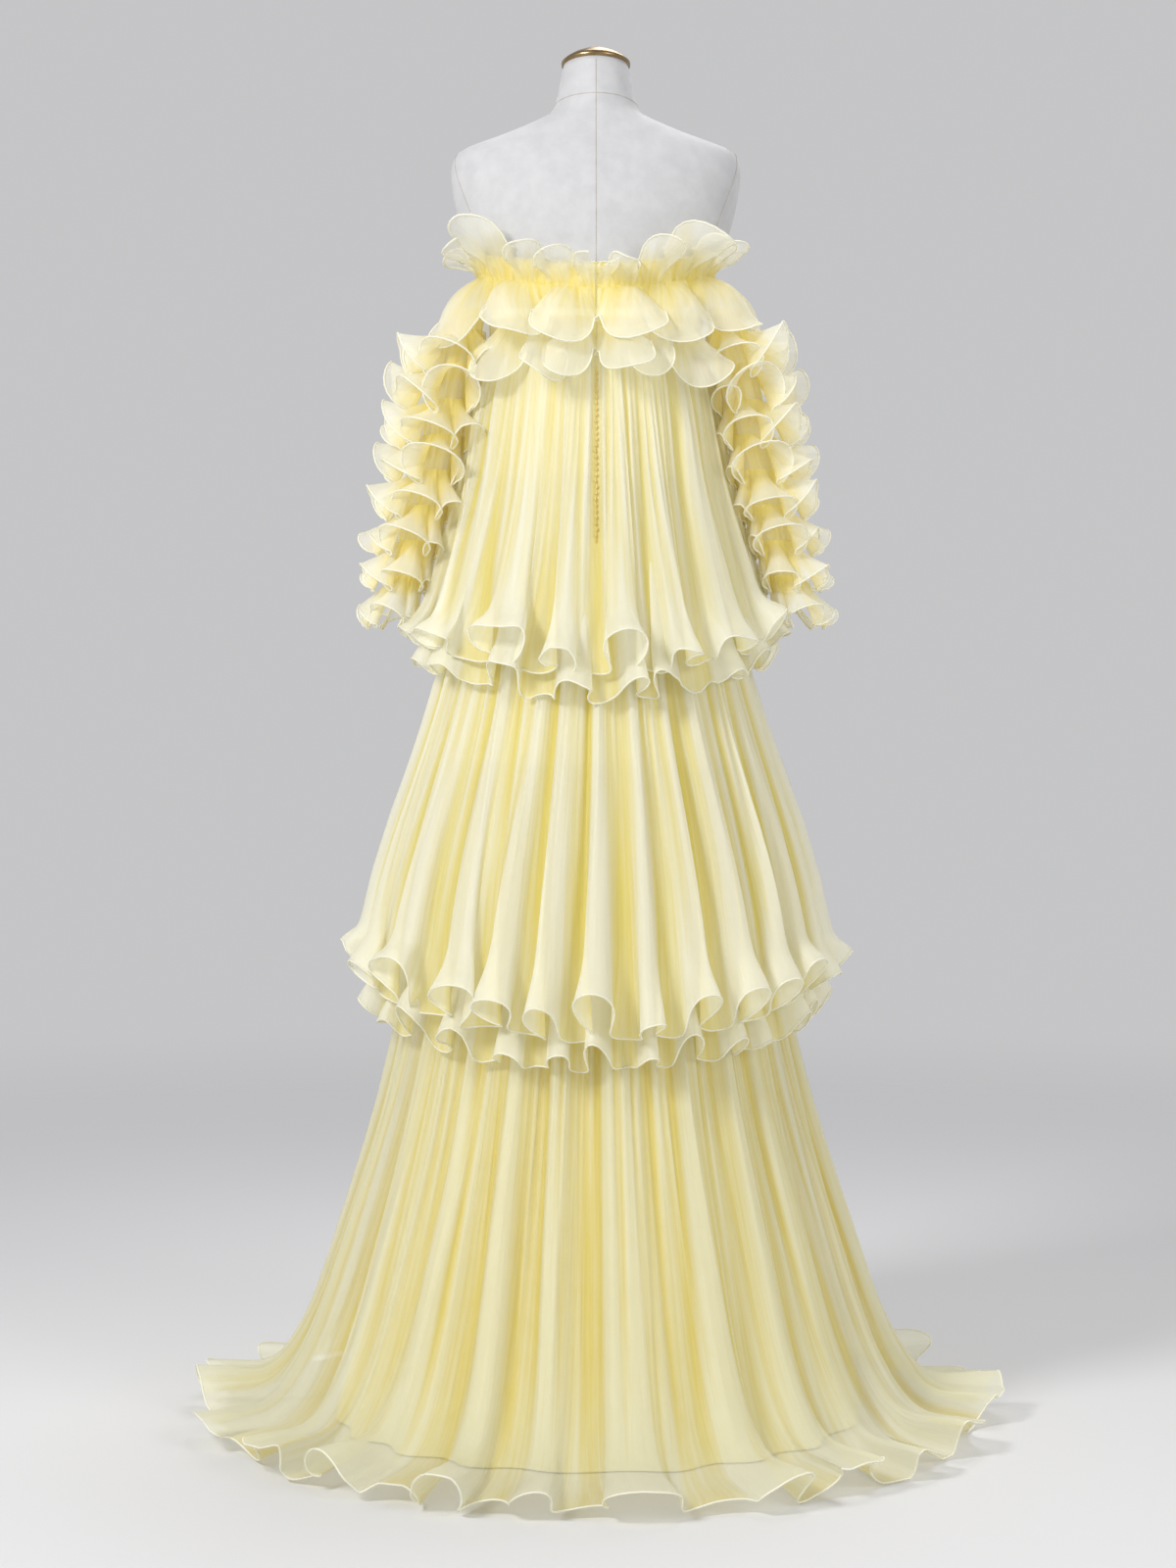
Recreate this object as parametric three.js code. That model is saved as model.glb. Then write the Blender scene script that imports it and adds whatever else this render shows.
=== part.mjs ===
// A tiered organza evening dress with a ruffled neckline and frilled sleeves, on a linen dress form.
// Millimetres. +Z is up and the floor is z = 0. The wearer's back faces -Y, and +X is the wearer's right.
// A ring is an ellipse round the form's axis. Its angle is 0 at the centre back and grows towards +X.
import * as THREE from "three";

// Driving sizes
const NECK_TOP = 1780; // height of the neck's upper edge at the sides
const FORM_BOTTOM = 980; // underside of the torso
const POLE_RADIUS = 16;
const BASE_RADIUS = 150;
const BASE_HEIGHT = 12;
const BASE_BEVEL = 6;
const POLE_SIDES = 20;
const BASE_SIDES = 40;
const WALL = 1.5; // cloth thickness
const SEAM = 0.3; // gap between panels at a seam, and between solids that touch
const STACK = WALL + 0.5; // from one layer's middle to the next layer's
const ON_FORM = 0.6 + WALL / 2; // from the torso to the middle of the first layer on it
const RING_COLUMNS = 28; // columns of the torso and of the slip
const DEGREE = Math.PI / 180;
const FULL_TURN = 2 * Math.PI;

// Rows of named columns
function table(columns, rows) {
  const names = columns.split(" ");
  return rows.map((row) => Object.fromEntries(names.map((name, i) => [name, row[i]])));
}

// The torso from its underside to the neck's edge: half width, depths to the back and the front, how
// far the section's centre lies in front of the axis, and how much higher its back is than its sides
const TORSO = table("z side back front ahead tilt", [
  [FORM_BOTTOM, 126, 94, 92, 0, 0],
  [1010, 150, 110, 104, 0, 0],
  [1085, 160, 116, 108, 0, 0],
  [1160, 147, 106, 100, 0, 0],
  [1235, 125, 88, 94, 0, 0],
  [1300, 114, 80, 92, 0, 0],
  [1370, 124, 86, 110, 0, 0],
  [1425, 134, 95, 128, 0, 0],
  [1492, 146, 102, 122, 0, 0],
  [1530, 162, 103, 110, 0, 0],
  [1567, 179, 101, 99, 0, 0],
  [1637, 191, 90, 79, 4, 0],
  [1658, 187, 83, 70, 6, 0],
  [1668, 176, 78, 65, 7, 0],
  [1685, 132, 71, 61, 9, 0],
  [1702, 90, 65, 58, 12, 1],
  [1719, 58, 59, 54, 14, 2],
  [NECK_TOP, 43, 47, 46, 18, 6],
]);

// The cap on the neck, as heights above the neck's edge and shares of its size
const NECK_CAP = table("up size", [
  [0, 1.05],
  [5, 1.06],
  [8, 0.98],
  [15, 0.66],
  [18, 0.3],
]);

// The rings of each skirt layer, from its seam to its hem. z, zBack and zFront are heights at the side,
// the back and the front; side, back and front are radii in the valleys between the flutes. out, lift
// and curl say how far a flute's crest stands out and up, and how far its mouth widens, as a share of
// its own width.
const RING = "z zBack zFront side back front out lift curl";
const SLIP_BELOW_BODICE = table(RING, [
  [1300, 1300, 1300, 137, 108, 132, 0, 0, 0],
  [1085, 1085, 1085, 166, 142, 145, 0, 0, 0],
  [970, 970, 970, 183, 168, 167, 0, 0, 0],
  [860, 860, 860, 190, 174, 174, 0, 0, 0],
  [400, 400, 400, 244, 238, 230, 0, 0, 0],
  [2, 2, 2, 335, 335, 315, 0, 0, 0],
]);
const TIER_1_BELOW_SEAM = table(RING, [
  [1345, 1340, 1345, 151, 121, 146, 5, 0, 0],
  [1245, 1235, 1245, 166, 142, 158, 10, 0, 0.02],
  [1100, 1075, 1103, 200, 184, 190, 20, 0, 0.04],
  [1012, 972, 1018, 220, 214, 211, 32, 34, 0.11],
]);
const TIER_1_UNDER_BELOW_SEAM = table(RING, [
  [1245, 1235, 1245, 161, 136, 152, 6, 0, 0],
  [980, 938, 985, 213, 206, 203, 24, 24, 0.06],
]);
const TIER_2_BELOW_SEAM = table(RING, [
  [1000, 990, 1000, 186, 172, 172, 12, 0, 0],
  [665, 645, 665, 276, 270, 258, 33, 0, 0.04],
  [566, 520, 572, 286, 292, 272, 42, 46, 0.12],
]);
const TIER_2_UNDER_BELOW_SEAM = table(RING, [
  [1000, 990, 1000, 181, 166, 166, 6, 0, 0],
  [640, 615, 640, 254, 248, 238, 18, 0, 0.03],
  [518, 478, 524, 270, 270, 254, 34, 28, 0.08],
]);
const TIER_3_BELOW_SEAM = table(RING, [
  [503, 503, 503, 247, 240, 232, 13, 0, 0],
  [230, 230, 230, 324, 328, 306, 22, 0, 0.02],
  [80, 80, 80, 384, 402, 362, 22, 8, 0.02],
  [18, 18, 18, 440, 484, 415, 16, 20, 0.04],
  [2, 2, 2, 496, 552, 466, 24, 38, 0.1],
]);

// Flutes from the centre back round towards +X: width in degrees, and shares of the ring's out and lift
const FLUTE = "wide out lift";
const TIER_1_START = 0; // the closure lies in the valley at the centre back
const TIER_1_FLUTES = table(FLUTE, [
  [17, 1.2, 1.5],
  [18, 0.9, 0.8],
  [23, 0.8, 0.6],
  [18, 1.05, 1.2],
  [14, 0.85, 0.8],
  [22, 0.9, 0.9],
  [24, 1.1, 1.2],
  [22, 0.9, 0.8],
  [22, 1, 1.1],
  [24, 1.1, 0.9],
  [22, 0.8, 1],
  [22, 1, 1.1],
  [24, 0.9, 0.8],
  [20, 1, 1],
  [24, 1, 1.1],
  [26, 1.1, 1.2],
  [18, 0.9, 0.9],
]);
const TIER_2_START = -4; // the first flute stands a little to the left of the centre back
const TIER_2_FLUTES = table(FLUTE, [
  [12, 1.1, 1.5],
  [9, 0.8, 0.6],
  [12, 0.95, 1.2],
  [11, 0.9, 0.7],
  [12, 0.8, 0.7],
  [15, 1, 1.2],
  [12, 0.8, 0.8],
  [14, 1.05, 1.1],
  [15, 0.9, 0.8],
  [16, 1, 1.1],
  [13, 0.8, 0.8],
  [16, 1.05, 1.1],
  [14, 0.9, 0.9],
  [15, 1, 1.1],
  [13, 0.85, 0.8],
  [16, 1.05, 1.1],
  [14, 0.9, 0.8],
  [15, 1, 1],
  [14, 0.9, 0.9],
  [13, 0.8, 0.8],
  [16, 1.05, 1.1],
  [15, 0.85, 0.8],
  [18, 1.05, 1.3],
  [16, 0.95, 1.1],
  [13, 0.8, 0.8],
  [11, 0.9, 0.9],
]);
const TIER_3_START = -3;
const TIER_3_FLUTES = table(FLUTE, [
  [19, 1, 1.1],
  [15, 1.1, 1.1],
  [13, 0.9, 1],
  [13, 1, 0.9],
  [17, 1.1, 1.1],
  [20, 1, 1.2],
  [18, 0.9, 0.9],
  [17, 1, 1],
  [17, 0.9, 1.1],
  [17, 1.1, 0.9],
  [17, 0.9, 1],
  [17, 1, 1.1],
  [17, 0.9, 0.9],
  [17, 1.1, 1.1],
  [17, 0.9, 1],
  [18, 1, 0.9],
  [16, 0.9, 1.2],
  [18, 1.1, 1],
  [17, 1, 0.9],
  [15, 0.9, 1.1],
  [13, 1, 1],
  [12, 0.9, 0.9],
]);

// Where a fluted wall has its columns, as shares of each flute
const FIVE_COLUMNS = [0, 0.2, 0.4, 0.6, 0.8];
const FOUR_COLUMNS = [0, 0.3, 0.5, 0.7];

// Lines round the dress: heights at the side, the back and the front
const BODICE_TOP = { side: 1526, back: 1506, front: 1512 };
const CHEST = { side: 1492, back: 1492, front: 1492 };
const UNDERARM = { side: 1425, back: 1425, front: 1425 };
const BAND_BOTTOM = { side: 1456, back: 1449, front: 1450 };
const UPPER_RUFFLE_LINE = { side: 1500, back: 1474, front: 1482 };
const TIER_1_SEAM_TOP = { side: 1444, back: 1438, front: 1440 };
const TIER_1_SEAM = { side: 1425, back: 1420, front: 1422 };
const TIER_2_SEAM = { side: 1235, back: 1235, front: 1235 };
const TIER_3_SEAM = { side: 860, back: 860, front: 860 };

// Ruffles: lengths of the strip above and below its line of gathers, the least and most that it
// swings out, in degrees, how much more it does so at the sides below its gathers, and its flutes' curl
const OPENING = 2.2; // degrees on each side of the centre back that the neckline's pieces leave open
const UPPER_RUFFLE = { waves: 13, up: 60, down: 56, low: 24, high: 82, side: 30, curl: 0.11 };
const LOWER_RUFFLE = { up: 0, down: 72, low: 16, high: 62, side: 0, curl: 0.11 };
const LOWER_RUFFLE_REACH = 58; // degrees that the lower ruffle runs each way from the centre back and front
const LOWER_RUFFLE_WAVES = 3; // waves of the lower ruffle in that reach

// A sleeve from its head to its open end: height, gap to the first tier, half width and half depth
const SLEEVE = table("z gap width depth", [
  [1456, SEAM, 24, 44],
  [1430, 9, 25, 48],
  [1350, 9.5, 26, 52],
  [1230, 9.5, 26, 52],
  [1140, 9.5, 23, 48],
  [1085, 9.5, 20, 42],
]);
const SLEEVE_COLUMNS = 14;
const SIDE_FLUTE = 0.95; // share of a tier's out that its flutes reach beside a sleeve
const FRILL = { down: 54, stand: 3, waves: 4, curl: 0.08, nearBody: 4 };
// The height of each frill's upper edge, and how far it swings out in its valleys and at its crests, in
// degrees. Next to the body each swings out by nearBody.
const FRILL_ROWS = table("z low high", [
  [1428, 33, 74],
  [1382, 33, 73],
  [1336, 33, 71],
  [1290, 33, 67],
  [1244, 33, 61],
  [1198, 33, 54],
  [1152, 31, 46],
  [1106, 14, 38],
]);

// The back zip, which runs along these rows of the first tier
const ZIP = { halfWidth: 1.5, thickness: 1.2, clearance: 1, firstRow: 1, lastRow: 4 };

const CLOTH = { color: 0xf5eda6, roughness: 0.75, metalness: 0 };
const LINEN = { color: 0xe9e8ea, roughness: 0.9, metalness: 0 };
const BRASS = { color: 0x9a7a45, roughness: 0.3, metalness: 1 };
const STEEL = { color: 0x55565a, roughness: 0.4, metalness: 1 };

// Rings

const mix = (a, b, share) => a + (b - a) * share;

function mixRows(a, b, share) {
  return Object.fromEntries(Object.keys(a).map((key) => [key, mix(a[key], b[key], share)]));
}

// The row of a table at a height, whichever way its heights run. Past its ends it is the end row.
function rowAt(rows, z) {
  const i = rows.findIndex((row, k) => k > 0 && (z - row.z) * (z - rows[k - 1].z) <= 0);
  if (i > 0) return mixRows(rows[i - 1], rows[i], (z - rows[i - 1].z) / (rows[i].z - rows[i - 1].z));
  return Math.abs(z - rows[0].z) < Math.abs(z - rows.at(-1).z) ? rows[0] : rows.at(-1);
}

// A point of a ring, moved out across it, up, and along it
function ringPoint(ring, angle, out = 0, up = 0, along = 0) {
  const s = Math.sin(angle);
  const c = Math.cos(angle);
  const depth = c > 0 ? ring.back : ring.front;
  const z = mix(ring.z, (c > 0 ? ring.zBack : ring.zFront) ?? ring.z, c * c);
  const across = new THREE.Vector2(depth * s, -ring.side * c).normalize();
  return new THREE.Vector3(
    ring.side * s + across.x * out - across.y * along,
    (ring.ahead ?? 0) - depth * c + across.y * out + across.x * along,
    z + (ring.tilt ?? 0) * c + up,
  );
}

const movedOut = (ring, by) => ({
  ...ring,
  side: ring.side + by,
  back: ring.back + by,
  front: ring.front + by,
});

// A ring of the first layer on the torso, whose height differs at the side, the back and the front
function onTorso({ side, back, front }) {
  const ring = {
    z: side,
    zBack: back,
    zFront: front,
    side: rowAt(TORSO, side).side,
    back: rowAt(TORSO, back).back,
    front: rowAt(TORSO, front).front,
    out: 0,
    lift: 0,
    curl: 0,
  };
  return movedOut(ring, ON_FORM);
}

const evenAngles = (count) => Array.from({ length: count }, (_, i) => (i / count) * FULL_TURN);
const evenRing = (ring) => evenAngles(RING_COLUMNS).map((angle) => ringPoint(ring, angle));

// Walls

// The unit vectors along a grid's row and across the cloth, out of the dress, at one of its points
function directions(grid, j, i, closed) {
  const row = grid[j];
  const before = row[closed ? (i + row.length - 1) % row.length : Math.max(i - 1, 0)];
  const after = row[closed ? (i + 1) % row.length : Math.min(i + 1, row.length - 1)];
  const above = grid[Math.max(j - 1, 0)][i];
  const below = grid[Math.min(j + 1, grid.length - 1)][i];
  const along = after.clone().sub(before).normalize();
  const across = below.clone().sub(above).cross(along).normalize();
  return { along, across };
}

// The outer and inner skins of the cloth through a grid
function skins(grid, closed, thickness = WALL) {
  const skin = (side) =>
    grid.map((row, j) =>
      row.map((point, i) =>
        point.clone().addScaledVector(directions(grid, j, i, closed).across, (side * thickness) / 2),
      ),
    );
  return [skin(1), skin(-1)];
}

// The closed solid between two skins, whose rows run down and whose columns run round
function solidBetween([outerSkin, innerSkin], closed) {
  const rows = outerSkin.length;
  const columns = outerSkin[0].length;
  const points = [...outerSkin.flat(), ...innerSkin.flat()];
  const outer = (j, i) => j * columns + (i % columns);
  const inner = (j, i) => rows * columns + outer(j, i);
  const faces = [];
  const quad = (a, b, c, d) => faces.push(a, b, c, a, c, d);
  const spans = closed ? columns : columns - 1;
  const last = rows - 1;
  for (let i = 0; i < spans; i++) {
    for (let j = 0; j < last; j++) {
      quad(outer(j, i), outer(j + 1, i), outer(j + 1, i + 1), outer(j, i + 1));
      quad(inner(j, i), inner(j, i + 1), inner(j + 1, i + 1), inner(j + 1, i));
    }
    quad(outer(0, i), outer(0, i + 1), inner(0, i + 1), inner(0, i));
    quad(outer(last, i), inner(last, i), inner(last, i + 1), outer(last, i + 1));
  }
  for (let j = 0; j < last && !closed; j++) {
    quad(outer(j, 0), inner(j, 0), inner(j + 1, 0), outer(j + 1, 0));
    quad(outer(j, spans), outer(j + 1, spans), inner(j + 1, spans), inner(j, spans));
  }
  return geometryOf(points, faces);
}

function geometryOf(points, faces) {
  const positions = points.flatMap((point) => point.toArray());
  return new THREE.BufferGeometry()
    .setAttribute("position", new THREE.Float32BufferAttribute(positions, 3))
    .setIndex(faces);
}

const clothWall = (grid, closed = false, thickness = WALL) =>
  solidBetween(skins(grid, closed, thickness), closed);

// The panel of a closed grid from one column to another, with half a seam's gap at each end
function panelWall(grid, from, to) {
  const count = grid[0].length;
  const cut = skins(grid, true).map((skin) =>
    skin.map((row, j) => {
      const part = [];
      for (let i = from; i <= to; i++) part.push(row[i % count].clone());
      part[0].addScaledVector(directions(grid, j, from % count, true).along, SEAM / 2);
      part.at(-1).addScaledVector(directions(grid, j, to % count, true).along, -SEAM / 2);
      return part;
    }),
  );
  return solidBetween(cut, false);
}

// A closed solid through rings of points from bottom to top, with flat ends
function loft(rings) {
  const columns = rings[0].length;
  const faces = [];
  for (let j = 0; j + 1 < rings.length; j++)
    for (let i = 0; i < columns; i++) {
      const a = j * columns + i;
      const b = j * columns + ((i + 1) % columns);
      faces.push(a, b, a + columns, b, b + columns, a + columns);
    }
  const top = (rings.length - 1) * columns;
  for (let i = 1; i + 1 < columns; i++) faces.push(0, i + 1, i, top, top + i, top + i + 1);
  return geometryOf(rings.flat(), faces);
}

const figure = new THREE.Group();

function add(name, geometry, look) {
  const mesh = new THREE.Mesh(geometry, new THREE.MeshStandardMaterial(look));
  mesh.name = name;
  figure.add(mesh);
  return mesh;
}

// Dress form

function addForm() {
  add("form_torso", loft(TORSO.map(evenRing)), LINEN);

  const edge = TORSO.at(-1);
  const capRing = ({ up, size }) => ({
    ...edge,
    z: edge.z + SEAM + up,
    side: edge.side * size,
    back: edge.back * size,
    front: edge.front * size,
  });
  add("form_neck_cap", loft(NECK_CAP.map(capRing).map(evenRing)), BRASS);

  const poleLength = FORM_BOTTOM - BASE_HEIGHT - 2 * SEAM;
  const poleShape = new THREE.CylinderGeometry(POLE_RADIUS, POLE_RADIUS, poleLength, POLE_SIDES);
  const pole = add("form_pole", poleShape, STEEL);
  pole.rotation.x = Math.PI / 2;
  pole.position.z = BASE_HEIGHT + SEAM + poleLength / 2;

  const baseProfile = [
    new THREE.Vector2(0, 0),
    new THREE.Vector2(BASE_RADIUS, 0),
    new THREE.Vector2(BASE_RADIUS, BASE_HEIGHT - BASE_BEVEL),
    new THREE.Vector2(BASE_RADIUS - BASE_BEVEL, BASE_HEIGHT),
    new THREE.Vector2(0, BASE_HEIGHT),
  ];
  const base = add("form_base", new THREE.LatheGeometry(baseProfile, BASE_SIDES), STEEL);
  base.rotation.x = Math.PI / 2;
}

// The panels that a layer is cut in, each with a name and the angles where it starts and ends
const halves = (name) => [
  [name + "_front", 90, 270],
  [name + "_back", 270, 450],
];
const quarters = (name) => [
  [name + "_back_right", 0, 90],
  [name + "_front_right", 90, 180],
  [name + "_front_left", 180, 270],
  [name + "_back_left", 270, 360],
];

// Slip and neckband

const slipRings = [...[BODICE_TOP, CHEST, UNDERARM].map(onTorso), ...SLIP_BELOW_BODICE];

// A ring of a layer on the slip, whose height differs at the side, the back and the front
function onSlip({ side, back, front }, layers) {
  const ring = {
    ...rowAt(slipRings, side),
    zBack: back,
    zFront: front,
    back: rowAt(slipRings, back).back,
    front: rowAt(slipRings, front).front,
  };
  return movedOut({ ...ring, z: side }, layers * STACK);
}

// Adds a band of the slip between two heights
function addSlipBand(top, bottom, panels) {
  const between = slipRings.filter(({ z }) => z < top && z > bottom);
  const grid = [rowAt(slipRings, top), ...between, rowAt(slipRings, bottom)].map(evenRing);
  for (const [name, from, to] of panels)
    add(name, panelWall(grid, (from / 360) * RING_COLUMNS, (to / 360) * RING_COLUMNS), CLOTH);
}

// The slip has seams round it where the second and the third tier are sewn on
function addSlip() {
  addSlipBand(slipRings[0].z, TIER_2_SEAM.side + SEAM / 2, halves("slip_bodice"));
  addSlipBand(TIER_2_SEAM.side - SEAM / 2, TIER_3_SEAM.side + SEAM / 2, quarters("slip_hip"));
  addSlipBand(TIER_3_SEAM.side - SEAM / 2, slipRings.at(-1).z, quarters("slip_skirt"));
}

// Gathered band on the slip's upper edge, open at the centre back
function addNeckband() {
  const angles = evenAngles(RING_COLUMNS);
  angles[0] = OPENING * DEGREE;
  angles.push(FULL_TURN - OPENING * DEGREE);
  const rings = [BODICE_TOP, CHEST, BAND_BOTTOM].map((line) => movedOut(onTorso(line), STACK));
  add("neckband", clothWall(rings.map((ring) => angles.map((angle) => ringPoint(ring, angle)))), CLOTH);
}

// Skirt layers

// The angle, the turn through its wave and the flute of each column
function fluteColumns(flutes, startDegrees, shares) {
  let from = startDegrees;
  return flutes.flatMap((flute) => {
    const columns = shares.map((share) => ({
      angle: (from + flute.wide * share) * DEGREE,
      turn: (share - 0.5) * FULL_TURN,
      flute,
    }));
    from += flute.wide;
    return columns;
  });
}

const crestShare = (turn) => (1 + Math.cos(turn)) / 2;

function flutedRing(ring, columns) {
  return columns.map(({ angle, turn, flute }) => {
    const crest = crestShare(turn);
    const width = flute.wide * DEGREE * mix(ring.side, ring.back, 0.5);
    const along = ring.curl * width * Math.sin(2 * turn);
    return ringPoint(ring, angle, ring.out * flute.out * crest, ring.lift * flute.lift * crest, along);
  });
}

// The first column of the flute that starts nearest to an angle
function valleyNear(columns, degrees) {
  const starts = columns.map((_, i) => i).filter((i) => i === 0 || columns[i].flute !== columns[i - 1].flute);
  const off = (i) => Math.abs(columns[i].angle / DEGREE - degrees);
  return starts.reduce((best, i) => (off(i) < off(best) ? i : best));
}

function addLayer(rings, flutes, start, shares, panels) {
  const columns = fluteColumns(flutes, start, shares);
  const grid = rings.map((ring) => flutedRing(ring, columns));
  for (const [name, from, to] of panels) {
    const first = valleyNear(columns, from);
    const last = to >= 360 ? columns.length + valleyNear(columns, to - 360) : valleyNear(columns, to);
    add(name, panelWall(grid, first, last), CLOTH);
  }
  return grid;
}

const tier1Rings = [onSlip(TIER_1_SEAM_TOP, 2), onSlip(TIER_1_SEAM, 2), ...TIER_1_BELOW_SEAM];

function addTiers() {
  const tier3Rings = [onSlip(TIER_3_SEAM, 1), ...TIER_3_BELOW_SEAM];
  const tier2Rings = [onSlip(TIER_2_SEAM, 2), ...TIER_2_BELOW_SEAM];
  const tier2UnderRings = [onSlip(TIER_2_SEAM, 1), ...TIER_2_UNDER_BELOW_SEAM];
  const tier1UnderRings = [onSlip(TIER_1_SEAM, 1), ...TIER_1_UNDER_BELOW_SEAM];
  addLayer(tier3Rings, TIER_3_FLUTES, TIER_3_START, FIVE_COLUMNS, quarters("tier_3"));
  addLayer(tier2UnderRings, TIER_2_FLUTES, TIER_2_START, FOUR_COLUMNS, halves("tier_2_under"));
  addLayer(tier2Rings, TIER_2_FLUTES, TIER_2_START, FIVE_COLUMNS, halves("tier_2"));
  addLayer(tier1UnderRings, TIER_1_FLUTES, TIER_1_START, FOUR_COLUMNS, halves("tier_1_under"));
  return addLayer(tier1Rings, TIER_1_FLUTES, TIER_1_START, FIVE_COLUMNS, [
    ["tier_1_back_right", 0, 90],
    ["tier_1_front", 90, 270],
    ["tier_1_back_left", 270, 360],
  ]);
}

// Back zip, a narrow strip that follows the valley where the first tier's back panels meet
function addZip(tierGrid) {
  const columns = tierGrid[0].length;
  const out = WALL / 2 + ZIP.clearance + ZIP.thickness / 2;
  const grid = tierGrid.slice(ZIP.firstRow, ZIP.lastRow + 1).map((row, j) => {
    const { across } = directions(tierGrid, ZIP.firstRow + j, 0, true);
    const valley = row[0].clone().addScaledVector(across, out);
    const towards = (next) => {
      const step = next.clone().sub(row[0]).setLength(ZIP.halfWidth);
      return valley.clone().add(step);
    };
    return [towards(row[columns - 1]), valley, towards(row[1])];
  });
  add("back_zip", clothWall(grid, false, ZIP.thickness), CLOTH);
}

// Neckline ruffles

// A strip gathered on a ring, whose free sides swing out in waves. sides are shares of its lengths,
// below 0 above the gathers. Above them its crests stand where its valleys are below.
function ruffle(ring, fromDegrees, toDegrees, waves, shape, sides) {
  const width = ((toDegrees - fromDegrees) / waves) * DEGREE * mix(ring.side, ring.back, 0.5);
  const places = Array.from({ length: waves }, (_, k) => FIVE_COLUMNS.map((share) => k + share)).flat();
  places.push(waves);
  return sides.map((side) =>
    places.map((place) => {
      const angle = mix(fromDegrees, toDegrees, place / waves) * DEGREE;
      const turn = place * FULL_TURN + (side < 0 ? 0 : Math.PI);
      const reach = Math.abs(side);
      const low = shape.low + (side > 0 ? shape.side * Math.sin(angle) ** 4 : 0);
      const swing = mix(low, shape.high, crestShare(turn) * reach) * DEGREE;
      const length = (side < 0 ? shape.up : shape.down) * reach;
      const rise = -Math.sign(side) * length * Math.cos(swing);
      const along = shape.curl * width * reach * Math.sin(2 * turn);
      return ringPoint(ring, angle, length * Math.sin(swing), rise, along);
    }),
  );
}

function addRuffles() {
  const upperLine = movedOut(onTorso(UPPER_RUFFLE_LINE), 2 * STACK);
  const upper = ruffle(upperLine, OPENING, 360 - OPENING, UPPER_RUFFLE.waves, UPPER_RUFFLE, [-1, 0, 0.5, 1]);
  add("neck_ruffle_upper", clothWall(upper), CLOTH);

  const lowerLine = movedOut(tier1Rings[0], STACK);
  const reach = LOWER_RUFFLE_REACH;
  const waves = LOWER_RUFFLE_WAVES;
  const pieces = [
    ["neck_ruffle_lower_right", OPENING, reach, waves],
    ["neck_ruffle_lower_front", 180 - reach, 180 + reach, 2 * waves],
    ["neck_ruffle_lower_left", 360 - reach, 360 - OPENING, waves],
  ];
  for (const [name, from, to, count] of pieces)
    add(name, clothWall(ruffle(lowerLine, from, to, count, LOWER_RUFFLE, [0, 1])), CLOTH);
}

// Sleeves

// A point of a sleeve moved out across it. Its direction is 0 away from the body.
function sleevePoint(z, direction, out) {
  const { gap, width, depth } = rowAt(SLEEVE, z);
  const beside = rowAt(tier1Rings, z);
  const near = beside.side + beside.out * SIDE_FLUTE + WALL + gap;
  const c = Math.cos(direction);
  const s = Math.sin(direction);
  const across = new THREE.Vector2(depth * c, width * s).normalize();
  return new THREE.Vector3(near + width + width * c + across.x * out, depth * s + across.y * out, z);
}

const sleeveTube = () =>
  SLEEVE.map(({ z }) => evenAngles(SLEEVE_COLUMNS).map((direction) => sleevePoint(z, direction, 0)));

// The frill of a row, whose waves stand between those of the rows above and below it
function sleeveFrill({ z, low, high }, row) {
  const waveAngle = FULL_TURN / FRILL.waves;
  const places = Array.from({ length: FRILL.waves }, (_, k) => FIVE_COLUMNS.map((share) => k + share)).flat();
  return [0, 1].map((reach) =>
    places.map((place) => {
      const turn = (place - 0.5) * FULL_TURN;
      const direction = (place + row / 2) * waveAngle;
      const near = (1 - Math.cos(direction)) / 2;
      const swing = mix(mix(low, high, crestShare(turn)), FRILL.nearBody, near) * DEGREE;
      const curl = FRILL.curl * waveAngle * reach * Math.sin(2 * turn) * (1 - near);
      const hang = FRILL.down * reach;
      return sleevePoint(z - hang * Math.cos(swing), direction + curl, FRILL.stand + hang * Math.sin(swing));
    }),
  );
}

// The same rows seen in a mirror, turned so that they still run the same way round
const mirrored = (grid) =>
  grid.map((row) => row.map((point) => new THREE.Vector3(-point.x, point.y, point.z)).reverse());

function addSleeve(hand, placed) {
  add("sleeve_" + hand, clothWall(placed(sleeveTube()), true), CLOTH);
  FRILL_ROWS.forEach((frill, row) =>
    add(`sleeve_${hand}_frill_${row + 1}`, clothWall(placed(sleeveFrill(frill, row)), true), CLOTH),
  );
}

addForm();
addSlip();
addNeckband();
addZip(addTiers());
addRuffles();
addSleeve("right", (grid) => grid);
addSleeve("left", mirrored);

// The part's origin is the middle of its floor area
const middle = new THREE.Box3().setFromObject(figure).getCenter(new THREE.Vector3());
figure.position.set(-middle.x, -middle.y, 0);

const part = new THREE.Group();
part.add(figure);
export default part;
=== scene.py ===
import math

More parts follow.
